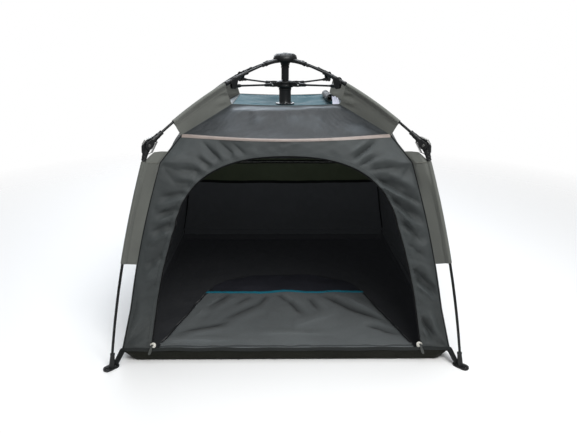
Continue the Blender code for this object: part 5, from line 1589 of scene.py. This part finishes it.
# The runner: a turned ring with two raised rims, and a fork of two cheeks and a web for each strut
def makeRunner():
    low, high, radius = hub["runnerLowZ"], hub["runnerTopZ"], hub["runnerRadius"]
    bore, neck = hub["runnerBore"], radius - 0.0022
    profile = [(bore, low), (radius - 0.004, low), (radius - 0.0008, low + 0.0012), (radius, low + 0.003),
               (radius, low + 0.0065), (neck, low + 0.0075), (neck, high - 0.0082), (radius, high - 0.0072),
               (radius, high - 0.0045), (radius - 0.0015, high - 0.0030), (radius - 0.008, high - 0.0012),
               (0.0140, high), (bore, high)]
    runner = Shape().solid(lathe(profile, 48))
    inner = np.array(struts["inner"])
    outline = linkOutline((radius - 0.004, inner[1]), inner, 0.0068, 0.0064)
    web = [(radius - 0.003, inner[1] - 0.006), (radius + 0.012, inner[1] - 0.006),
           (radius + 0.012, inner[1] - 0.0042), (radius - 0.003, inner[1] - 0.0030)]
    for degrees in turns.values():
        fork = Shape(degrees)
        cheeks(fork, outline, struts["forkInner"], struts["forkOuter"])
        runner.merge(fork.prism(web, -struts["forkInner"], struts["forkInner"]))
    runner.finish("hubRunner", looks["plastic"], "black_plastic", ("hub_runner",), bevel=0.0004)


# The tube between the runner and the cap's core, turned from (radius, height) points
def makeUpperTube():
    low, high = hub["runnerTopZ"] + hub["gap"], hub["coreLowZ"] - hub["gap"]
    radius = hub["upperTube"]
    profile = [(radius - 0.002, low), (radius, low + 0.001), (radius, high - 0.007),
               (radius + 0.0012, high - 0.006), (radius + 0.0012, high - 0.001), (radius - 0.001, high)]
    upper = Shape().solid(lathe(profile, 48))
    upper.finish("hubUpperTube", looks["tube"], "black_plastic", ("hub_upper_tube",))


# The tube between the roof top and the runner, turned in the same way with its plate, and four screws
def makeLowerTube():
    radius, plate = hub["lowerTube"], hub["plateRadius"]
    z = float(roofHeight(plate / cabin["crestHalf"], 0.0)) + hub["gap"]
    top = hub["runnerLowZ"] - hub["gap"]
    deck = z + hub["plateThickness"]
    profile = [(0.0002, z), (plate - 0.0008, z), (plate, z + 0.0008), (plate, deck - 0.0010),
               (plate - 0.0010, deck), (radius + 0.0040, deck), (radius + 0.0016, deck + 0.0014),
               (radius, deck + 0.0044), (radius, top - 0.0075), (radius + 0.0012, top - 0.0068),
               (radius + 0.0012, top - 0.0016), (radius, top - 0.0008), (radius - 0.002, top), (0.0002, top)]
    lower = Shape().solid(lathe(profile, 56))
    lower.finish("hubLowerTube", looks["tube"], "black_plastic", ("hub_lower_tube",))
    screws = Shape()
    head = [(0.0021, 0.0), (0.0021, 0.0006), (0.0016, 0.0011), (0.0003, 0.0012)]
    for step in range(4):
        angle = math.radians(step * 90.0)
        spot = (hub["screwsAt"] * math.cos(angle), hub["screwsAt"] * math.sin(angle), deck - 0.0002)
        screws.solid(lathe(head, 14, spot))
    screws.finish("hubScrews", looks["steel"], "black_plastic")


coverRoll = {
    "x": 0.137, "half": 0.105, "radius": 0.0108, "turns": 4.0, "core": 0.0074, "bend": -0.0035,
    "lift": 0.0065, "ties": (-0.062, 0.004, 0.070), "tieDepth": 0.10, "tieWidth": 0.006,
    # (offset along the roll, height over it) round a tie
    "tieSection": ((-0.0045, 0.0), (-0.0042, 0.0007), (0.0042, 0.0007), (0.0045, 0.0), (0.0, -0.0006)),
    # the lining that hangs out of the roll's end: inner edge and width in x, near end and length in y
    "lining": (0.1365, 0.0195, -0.146, 0.040), "liningHigh": 0.0215,
}


# The rolled roof cover: a spiral whose radius grows evenly with the turn, carried along the roll with a
# slow wave, and three ties round it. Its near end is lifted and bent inwards.
def makeCoverRoll():
    x, half, radius, core = (coverRoll[key] for key in ("x", "half", "radius", "core"))
    bed = 0.011
    offset = np.linspace(-0.9, 0.9, 41) * bed
    under = roofHeight((x + offset) / cabin["crestHalf"], half / cabin["crestHalf"])
    z = float((under + np.sqrt(bed ** 2 - offset ** 2)).max()) + 0.0003

    # the middle of the roll at a place y along it
    def middle(y):
        return (x + coverRoll["bend"] * smooth(-y, 0.0, half), z + coverRoll["lift"] * smooth(-y, 0.01, half))

    turn = np.linspace(0.0, coverRoll["turns"] * 2.0 * math.pi, 200)[None, :]
    y = np.linspace(-half, half, 61)[:, None]
    grow = core + (radius - core) * (turn / turn.max())
    pinch = 1.0
    for tie in coverRoll["ties"]:
        pinch = pinch - coverRoll["tieDepth"] * np.exp(-((y - tie) / coverRoll["tieWidth"]) ** 2)
    wave = 1.0 + 0.035 * np.cos(y * 95.0 + turn * 0.5) * smooth(turn, 4.0, 30.0)
    reach = np.minimum(grow * pinch * wave, radius)
    middleX, middleZ = middle(y)
    points = np.stack([middleX - reach * np.cos(turn), y + 0.0018 * np.cos(turn * 0.5) * (np.abs(y) / half),
                       middleZ + reach * np.sin(turn)], -1)
    roll = Shape().grid(points, out=(0.0, 0.0, 1.0))
    piece = roll.finish("roofCoverRoll", looks["cabin"], "cabin_cloth", ("roof_cover_roll",),
                        thick=cabin["thinCloth"])
    t, s = np.meshgrid(np.linspace(0.0, 1.0, 33), np.linspace(0.0, 1.0, 25))
    edge, width, near, long = coverRoll["lining"]
    over = edge + width * s
    back = near + long * t + 0.006 * np.sin(s * 6.0 + 1.0) * t
    under = roofHeight(over / cabin["crestHalf"], back / cabin["crestHalf"])
    arc = coverRoll["liningHigh"] * np.sin(0.5 * math.pi * t) * (1.0 - 0.35 * s ** 2)
    high = 0.0010 + arc + 0.0012 * np.sin(s * 14.0) * t
    lining = Shape().grid(np.stack([over, back, under + high], -1), out=(0.0, 0.0, 1.0))
    piece = lining.finish("coverLining", looks["white"], "roof_cloth", thick=cabin["thinCloth"])
    ties = Shape()
    angle = ringAngles(48)
    for tie in coverRoll["ties"]:
        middleX, middleZ = middle(tie)
        rows = [np.stack([middleX - (radius + lift) * np.cos(angle), tie + dy + 0.0 * angle,
                          middleZ + (radius + lift) * np.sin(angle)], -1)
                for dy, lift in coverRoll["tieSection"]]
        ties.grid(np.stack(rows), wrapRows=True, wrapColumns=True)
    ties.finish("coverTies", looks["greyTie"], "webbing")


flap = {
    "bindingFrom": 0.0078, "bindingTo": 0.0160,
    "sillZ": 0.0400, "sillY": -0.447033, "rest": -3.8795, "clearance": 0.0062, "sillHalf": 0.352,
    "meshFrom": 0.378, "narrow": 0.008, "slackTo": 0.46, "seed": 8, "depth": 1.5,
    # the height that it lies at, the length over which it falls there from the sill, and the fold depth
    # that gives full painted shade
    "liesAt": 0.0086, "fallLength": 0.135, "paintedShadeDepth": 0.0055,
    # slow and quick ripples: height, wave
    "slowRipple": (0.0020, 0.13), "quickRipple": (0.0006, 0.04),
    # the room that its relief has over the floor: less than the height it lies at, more near the sill, and
    # over which length; then the ridge beside the sill: height, reach, width
    "room": (0.0034, 0.02, 0.12), "ridge": (0.0030, 0.014, 0.008),
    "stitchInsets": (0.0065, 0.0095),
    # (offset, height) across the teal band, and (set in from the edge, height) across the zip's tape
    "bandSection": ((-0.0058, 0.0002), (-0.0052, 0.0020), (0.0, 0.0028), (0.0052, 0.0020), (0.0058, 0.0002)),
    "tapeSection": ((0.0070, 0.0004), (0.0062, 0.0010), (0.0016, 0.0012), (0.0004, 0.0008), (-0.0002, 0.0)),
    # folds in the world's (x, y) where the flap lies: from, to, width, height
    "folds": [
        (-0.192, -0.078, -0.279, -0.210, 0.0090, -0.0040), (-0.185, -0.270, -0.330, -0.345, 0.0100, -0.0044),
        (-0.064, -0.088, -0.094, -0.170, 0.0070, -0.0034), (-0.024, -0.088, 0.006, -0.135, 0.0060, -0.0030),
        (0.008, -0.120, 0.058, -0.235, 0.0080, -0.0036), (0.130, -0.100, 0.325, -0.292, 0.0100, -0.0046),
        (0.214, -0.108, 0.350, -0.318, 0.0090, 0.0036), (0.250, -0.300, 0.335, -0.358, 0.0080, -0.0038),
        (-0.090, -0.348, 0.150, -0.353, 0.0080, 0.0022), (-0.354, -0.396, -0.134, -0.394, 0.0085, 0.0024),
        (-0.090, -0.150, -0.200, -0.260, 0.0100, -0.0034), (0.026, -0.305, 0.180, -0.215, 0.0110, 0.0020),
        (0.080, -0.110, 0.110, -0.200, 0.0070, -0.0030), (-0.230, -0.110, -0.300, -0.270, 0.0080, 0.0026),
        (-0.120, -0.095, -0.170, -0.160, 0.0070, -0.0028), (0.290, -0.190, 0.345, -0.330, 0.0070, -0.0030),
    ],
}


# Flap points from across x and reach, the distance from the sill: the cloth falls off the tub's rim and
# runs out flat, height = an exponential from the sill to the floor, in the world's frame
def flapPoints(x, reach, lift):
    x, reach = np.broadcast_arrays(x, reach)
    y = flap["sillY"] + reach * math.cos(math.radians(flap["rest"]))
    fall = np.exp(-np.maximum(reach, 0.0) / flap["fallLength"])
    z = flap["liesAt"] + (flap["sillZ"] - flap["liesAt"]) * fall
    return np.stack([x, y, z + lift], -1)


# The flap's outline laid out from the sill, set in from the doorway by a distance
def flapOutline(offset):
    line = archLine(801)
    flat = np.stack([line[:, 0], (line[:, 1] - flap["sillZ"]) / math.cos(leanAngle)], -1)
    return flat - offset * rightOf(flat)


# Half the flap's width at a reach: its outline, with the slack sides drawn in by a half sine between the
# sill and the crown, and eased out to the wider sill
def flapHalf(reach, offset=0.0):
    flat = flapOutline(flap["clearance"] + offset)[:401]
    order = np.argsort(flat[:, 1])
    half = np.interp(reach, flat[order, 1], flat[order, 0])
    slack = flap["narrow"] * np.sin(math.pi * np.clip(reach / flap["slackTo"], 0.0, 1.0))
    low = flap["sillHalf"] - offset
    return np.where(reach < 0.030, low, half - (half - low) * (1.0 - smooth(reach, 0.030, 0.036)) - slack)


# The flap's long folds, deepened
def flapFolds(x, reach):
    folds = np.array(flap["folds"]) * ([1.0] * 5 + [flap["depth"]])
    return creases(x, flap["sillY"] + reach, folds)


# The flap's relief: folds plus two sizes of ripples, kept off the floor, plus a ridge beside the sill
def flapHeight(x, reach):
    y, seed = flap["sillY"] + reach, flap["seed"]
    slow, slowWave = flap["slowRipple"]
    quick, quickWave = flap["quickRipple"]
    total = flapFolds(x, reach) + slow * ripples(x, y, seed, slowWave)
    total = total + quick * ripples(x, y, seed + 1, quickWave, 11)
    less, more, within = flap["room"]
    room = flap["liesAt"] - less + more * np.exp(-reach / within)
    high, at, wide = flap["ridge"]
    ridge = high * np.exp(-((reach - at) / wide) ** 2) * (1.0 + 0.5 * ripples(x, 0.0 * x, 41, 0.07))
    return np.maximum(total * smooth(reach, 0.0, 0.03), -room) + ridge


# Points on the flap's cloth, lifted off its relief
def onFlap(x, reach, lift=0.0):
    x, reach = np.broadcast_arrays(x, reach)
    return flapPoints(x, reach, flapHeight(x, reach) + lift)


# The flap's cloth, its mesh top, the teal band between them, and its stitches
def makeFlap():
    up = (0.0, 0.0, 1.0)
    meshFrom = flap["meshFrom"]
    reach = np.linspace(0.0, meshFrom, 111)[:, None]
    u = np.linspace(-1.0, 1.0, 171)[None, :]
    x, far = np.broadcast_arrays(u * flapHalf(reach), reach)
    panel = Shape().grid(onFlap(x, far), out=up)
    # painted shade in the hollows of the flap's folds and painted highlight on their crests
    piece = panel.finish("doorFlapCloth", [looks["flap"], looks["lining"]], "cabin_cloth", ("door",),
                         "door_flap", thick=cabin["floorCloth"],
                         fold=-flapFolds(x, far) / flap["paintedShadeDepth"])

    crown = float(flapOutline(flap["clearance"])[:, 1].max()) - 0.0006
    share = np.linspace(0.0, 1.0, 61)[:, None]
    reach = meshFrom + (crown - meshFrom) * np.sin(share * math.pi / 2.0)
    x, far = np.broadcast_arrays(u * flapHalf(reach), reach)
    slack = 0.0012 * (1.0 + ripples(x, far, 33, 0.10)) * smooth(share, 0.0, 0.25)
    screen = Shape().grid(onFlap(x, far, slack), out=up)
    piece = screen.finish("doorFlapScreen", looks["flapScreen"], "screen_mesh", body="door_flap",
                          thick=cabin["thinCloth"])

    along = np.linspace(-0.995, 0.995, 201)

    # A line across the flap beside the joint of cloth and mesh
    def crossRow(offset, lift):
        return onFlap(along * flapHalf(meshFrom + offset), meshFrom + offset, lift)

    binding = Shape().grid(np.stack([crossRow(*spot) for spot in flap["bandSection"]]), out=up)
    binding.finish("doorFlapBinding", looks["teal"], "roof_cloth", body="door_flap", thick=sewing["tape"])
    sewn = Shape()
    for offset in (-0.0035, 0.0035):
        stitchRow(sewn, crossRow(offset, 0.0015), up)
    makeFlapZip(sewn, np.linspace(0.040, crown - 0.0002, 900), up)
    makeSill(up)


# The zip's tape and coil and two rows of stitches, up each side of the flap and round to its crown
def makeFlapZip(sewn, reach, up):
    zipTape, coil = Shape(), Shape()

    # A line up one side, set in from the edge, at every step of reach
    def sideRow(side, inset, lift, step=1, stop=None):
        far = reach[:stop:step]
        return onFlap(side * np.maximum(flapHalf(far, inset), 0.0), far, lift)

    for side in (-1.0, 1.0):
        for inset in flap["stitchInsets"]:
            stitchRow(sewn, sideRow(side, inset, 0.0006, stop=-40), up)
        rows = [sideRow(side, inset, lift, 6) for inset, lift in flap["tapeSection"]]
        zipTape.grid(np.stack(rows), out=up)
        teeth = sideRow(side, 0.0006, 0.0010, stop=-4)
        stitchRow(coil, teeth, up, sewing["coilPitch"], sewing["flapTooth"])
    sewn.finish("doorFlapStitches", looks["thread"], "cabin_cloth", body="door_flap")
    zipTape.finish("doorFlapZipTape", looks["flapEdge"], "cabin_cloth", body="door_flap",
                   thick=sewing["flapTape"])
    coil.finish("doorFlapZipCoil", looks["coil"], "black_plastic", body="door_flap")


# The binding along the sill, which swells by the root of a half sine across its width
def makeSill(up):
    first, last = flap["bindingFrom"], flap["bindingTo"]
    reach = np.linspace(first, last, 9)[:, None]
    x, far = np.broadcast_arrays(np.linspace(-1.0, 1.0, 121)[None, :] * flap["sillHalf"], reach)
    swell = 0.0012 * np.sin(math.pi * np.clip((far - first) / (last - first), 0.0, 1.0)) ** 0.5
    sill = Shape().grid(onFlap(x, far, swell), out=up)
    sill.finish("doorSillBinding", looks["sill"], "cabin_cloth", body="door_flap", thick=sewing["tape"])


zips = {
    "x": 0.3640, "z": 0.0515, "radius": 0.0072, "stretch": 1.08, "rise": 0.0058,
    "pinX": 0.366, "pinY": -0.454213, "pinZ": 0.056546,
    "ear": ((-0.0022, 0.0030), (0.0030, 0.0030), (0.0026, 0.0090), (0.0012, 0.0105), (-0.0012, 0.0102),
            (-0.0022, 0.0080)),
    "earOffset": 0.0039, "earHalf": 0.0005,
    "tabLength": 0.031, "tabHalf": 0.0040, "tabSplay": 0.011, "tabThickness": 0.0014,
    # how far down the tab its rings lie, their widths as shares, and the section of each ring
    "tabDrops": (0.0006, 0.0016, 0.003, 0.006, 0.010, 0.016, 0.021, 0.0255, 0.0275, 0.031),
    "tabShares": (0.62, 0.64, 0.62, 0.66, 0.80, 0.94, 1.0, 1.0, 0.9, 0.55),
    "tabSection": ((-1.0, 0.0), (-0.85, 0.5), (0.0, 0.62), (0.85, 0.5), (1.0, 0.0), (0.85, -0.5),
                   (0.0, -0.62), (-0.85, -0.5)),
}


# Each slider is a low dome, radius and height following a quarter circle, with two ears for its tab
def makeSlider(name, side):
    faceY = -(float(seamHalf(zips["z"])) + 0.0003)
    tilt = np.array([(1.0, 0.0, 0.0), (0.0, math.sin(leanAngle), math.cos(leanAngle)), tuple(wallOut)])
    place = np.array([side * zips["x"], faceY, zips["z"]])
    angle = ringAngles(32)
    ring = np.stack([np.cos(angle), zips["stretch"] * np.sin(angle)], -1)
    rows = []
    for step in np.concatenate([[-0.25, -0.12], np.linspace(0.0, 0.97, 11)]):
        quarter = 0.5 * math.pi * step
        share = math.cos(quarter) if step > 0.0 else 1.0 + 0.3 * step
        lift = 0.0010 + zips["rise"] * math.sin(quarter) if step > 0.0 else 0.0012 + 0.0045 * step
        rows.append(ring * zips["radius"] * share @ tilt[:2] + lift * tilt[2] + place)
    slider = Shape().solid(np.stack(rows))
    earAt = np.array([side * zips["pinX"], faceY + 0.0012, zips["pinZ"] - 0.0020])
    for ear in (-1.0, 1.0):
        middle = ear * zips["earOffset"]
        part = Shape().prism(zips["ear"], middle - zips["earHalf"], middle + zips["earHalf"],
                             axes=(tilt[1], tilt[2], tilt[0]))
        slider.merge(part, earAt)
    slider.finish("zipSlider_" + name, looks["cream"], "slider_plastic", ("zip_slider_" + name,),
                  bevel=0.0003)


# Each tab hangs from a barrel round the slider's pin, as rings that splay out sideways by the drop to
# the power 1.1
def makeTab(name, side):
    x, y, z = side * zips["pinX"], zips["pinY"], zips["pinZ"]
    barrel = np.linspace(-0.0029, 0.0029, 7)[:, None] * np.array([1.0, 0.0, 0.0]) + np.array([x, y, z])
    tab = Shape().pipe(barrel, 0.0016, 14)
    drop, section = np.array(zips["tabDrops"]), np.array(zips["tabSection"])
    half = zips["tabHalf"] * np.array(zips["tabShares"])
    splay = side * zips["tabSplay"] * (drop / zips["tabLength"]) ** 1.1
    wide = x + splay[:, None] + half[:, None] * section[None, :, 0]
    thick = y + zips["tabThickness"] * section[None, :, 1]
    tab.solid(np.stack(np.broadcast_arrays(wide, thick, z - drop[:, None]), -1))
    tab.finish("zipTab_" + name, looks["tab"], "tab_cloth", ("zip_tab_" + name,), name + "_pull")


makeCap()
makeUpperTube()
makeRunner()
makeLowerTube()
makeCoverRoll()
makeFlap()
for name, side in (("left", -1.0), ("right", 1.0)):
    makeSlider(name, side)
    makeTab(name, side)
print("hub, roll, flap and zips made")


# Camera and light

camera = {
    "place": (-0.021, -1.594, 0.831), "pitch": 19.5, "yaw": -0.56, "roll": 0.1,
    "lens": 30.5, "sensor": 36.0, "shift": 0.0093,
}


# The photo's camera: rolled, tilted down from level by its pitch, then turned by its yaw
def makeCamera():
    data = bpy.data.cameras.new("photoCamera")
    data.lens, data.sensor_width, data.shift_x = camera["lens"], camera["sensor"], camera["shift"]
    item = bpy.data.objects.new("photoCamera", data)
    bpy.context.scene.collection.objects.link(item)
    turn = (Matrix.Rotation(math.radians(camera["yaw"]), 4, "Z")
            @ Matrix.Rotation(math.radians(90.0 - camera["pitch"]), 4, "X")
            @ Matrix.Rotation(math.radians(camera["roll"]), 4, "Z"))
    item.matrix_world = Matrix.Translation(camera["place"]) @ turn
    bpy.context.scene.camera = item


lights = {
    "ambient": 0.31, "backdrop": 1.0, "floorRadius": 2.6, "fadeFrom": 0.62, "floorTone": 0.93,
    "aim": (0.0, 0.0, 0.35),
    # name: place, size in metres, power in watts, colour
    "areas": {
        "overhead": ((0.1, 0.15, 2.2), 1.5, 24.0, (0.92, 0.96, 1.0)),
        "highFront": ((0.40, -1.30, 1.82), 0.9, 28.0, (1.0, 1.0, 0.99)),
        "backRim": ((-0.45, 2.1, 1.7), 1.7, 34.0, (0.86, 0.92, 1.0)),
    },
}


# Area lights aimed at the tent, and a white world that the camera sees brighter than it lights
def makeLights():
    for name, (place, size, power, colour) in lights["areas"].items():
        data = bpy.data.lights.new(name, "AREA")
        data.shape, data.size, data.energy, data.color = "SQUARE", size, power, colour
        item = bpy.data.objects.new(name, data)
        bpy.context.scene.collection.objects.link(item)
        aim = (Vector(lights["aim"]) - Vector(place)).to_track_quat("-Z", "Y")
        item.matrix_world = Matrix.Translation(place) @ aim.to_matrix().to_4x4()
    world = bpy.data.worlds.new("studio")
    world.use_nodes = True
    tree = world.node_tree
    seen = tree.nodes.new("ShaderNodeLightPath")
    level = tree.nodes.new("ShaderNodeMapRange")
    level.inputs["To Min"].default_value = lights["ambient"]
    level.inputs["To Max"].default_value = lights["backdrop"]
    tree.links.new(seen.outputs["Is Camera Ray"], level.inputs["Value"])
    tree.links.new(level.outputs["Result"], tree.nodes["Background"].inputs["Strength"])
    tree.nodes["Background"].inputs["Color"].default_value = (1.0, 1.0, 1.0, 1.0)
    bpy.context.scene.world = world


# A pale paper disc under the tent, whose alpha falls evenly with the distance from its middle
def makeGround():
    radius = np.linspace(0.02, lights["floorRadius"], 40)[:, None, None]
    angle = ringAngles(96)[None, :]
    disc = radius * np.stack([np.cos(angle), np.sin(angle), 0.0 * angle], -1) - np.array([0.0, 0.0, 0.0004])
    ground = Shape().grid(disc, wrapColumns=True, caps=1, out=(0.0, 0.0, 1.0))
    paper = Finish("paleFloor", (lights["floorTone"],) * 3, 0.9, Specular_IOR_Level=0.1)
    x, y, _ = paper.parts(paper.place())
    gone = ((x * x + y * y) ** 0.5 - lights["fadeFrom"]) / (lights["floorRadius"] - lights["fadeFrom"])
    paper.feed("Alpha", (1.0 - gone).clamp())
    ground.finish("studioFloor", paper.material)


makeCamera()
makeLights()
makeGround()
print("scene ready")
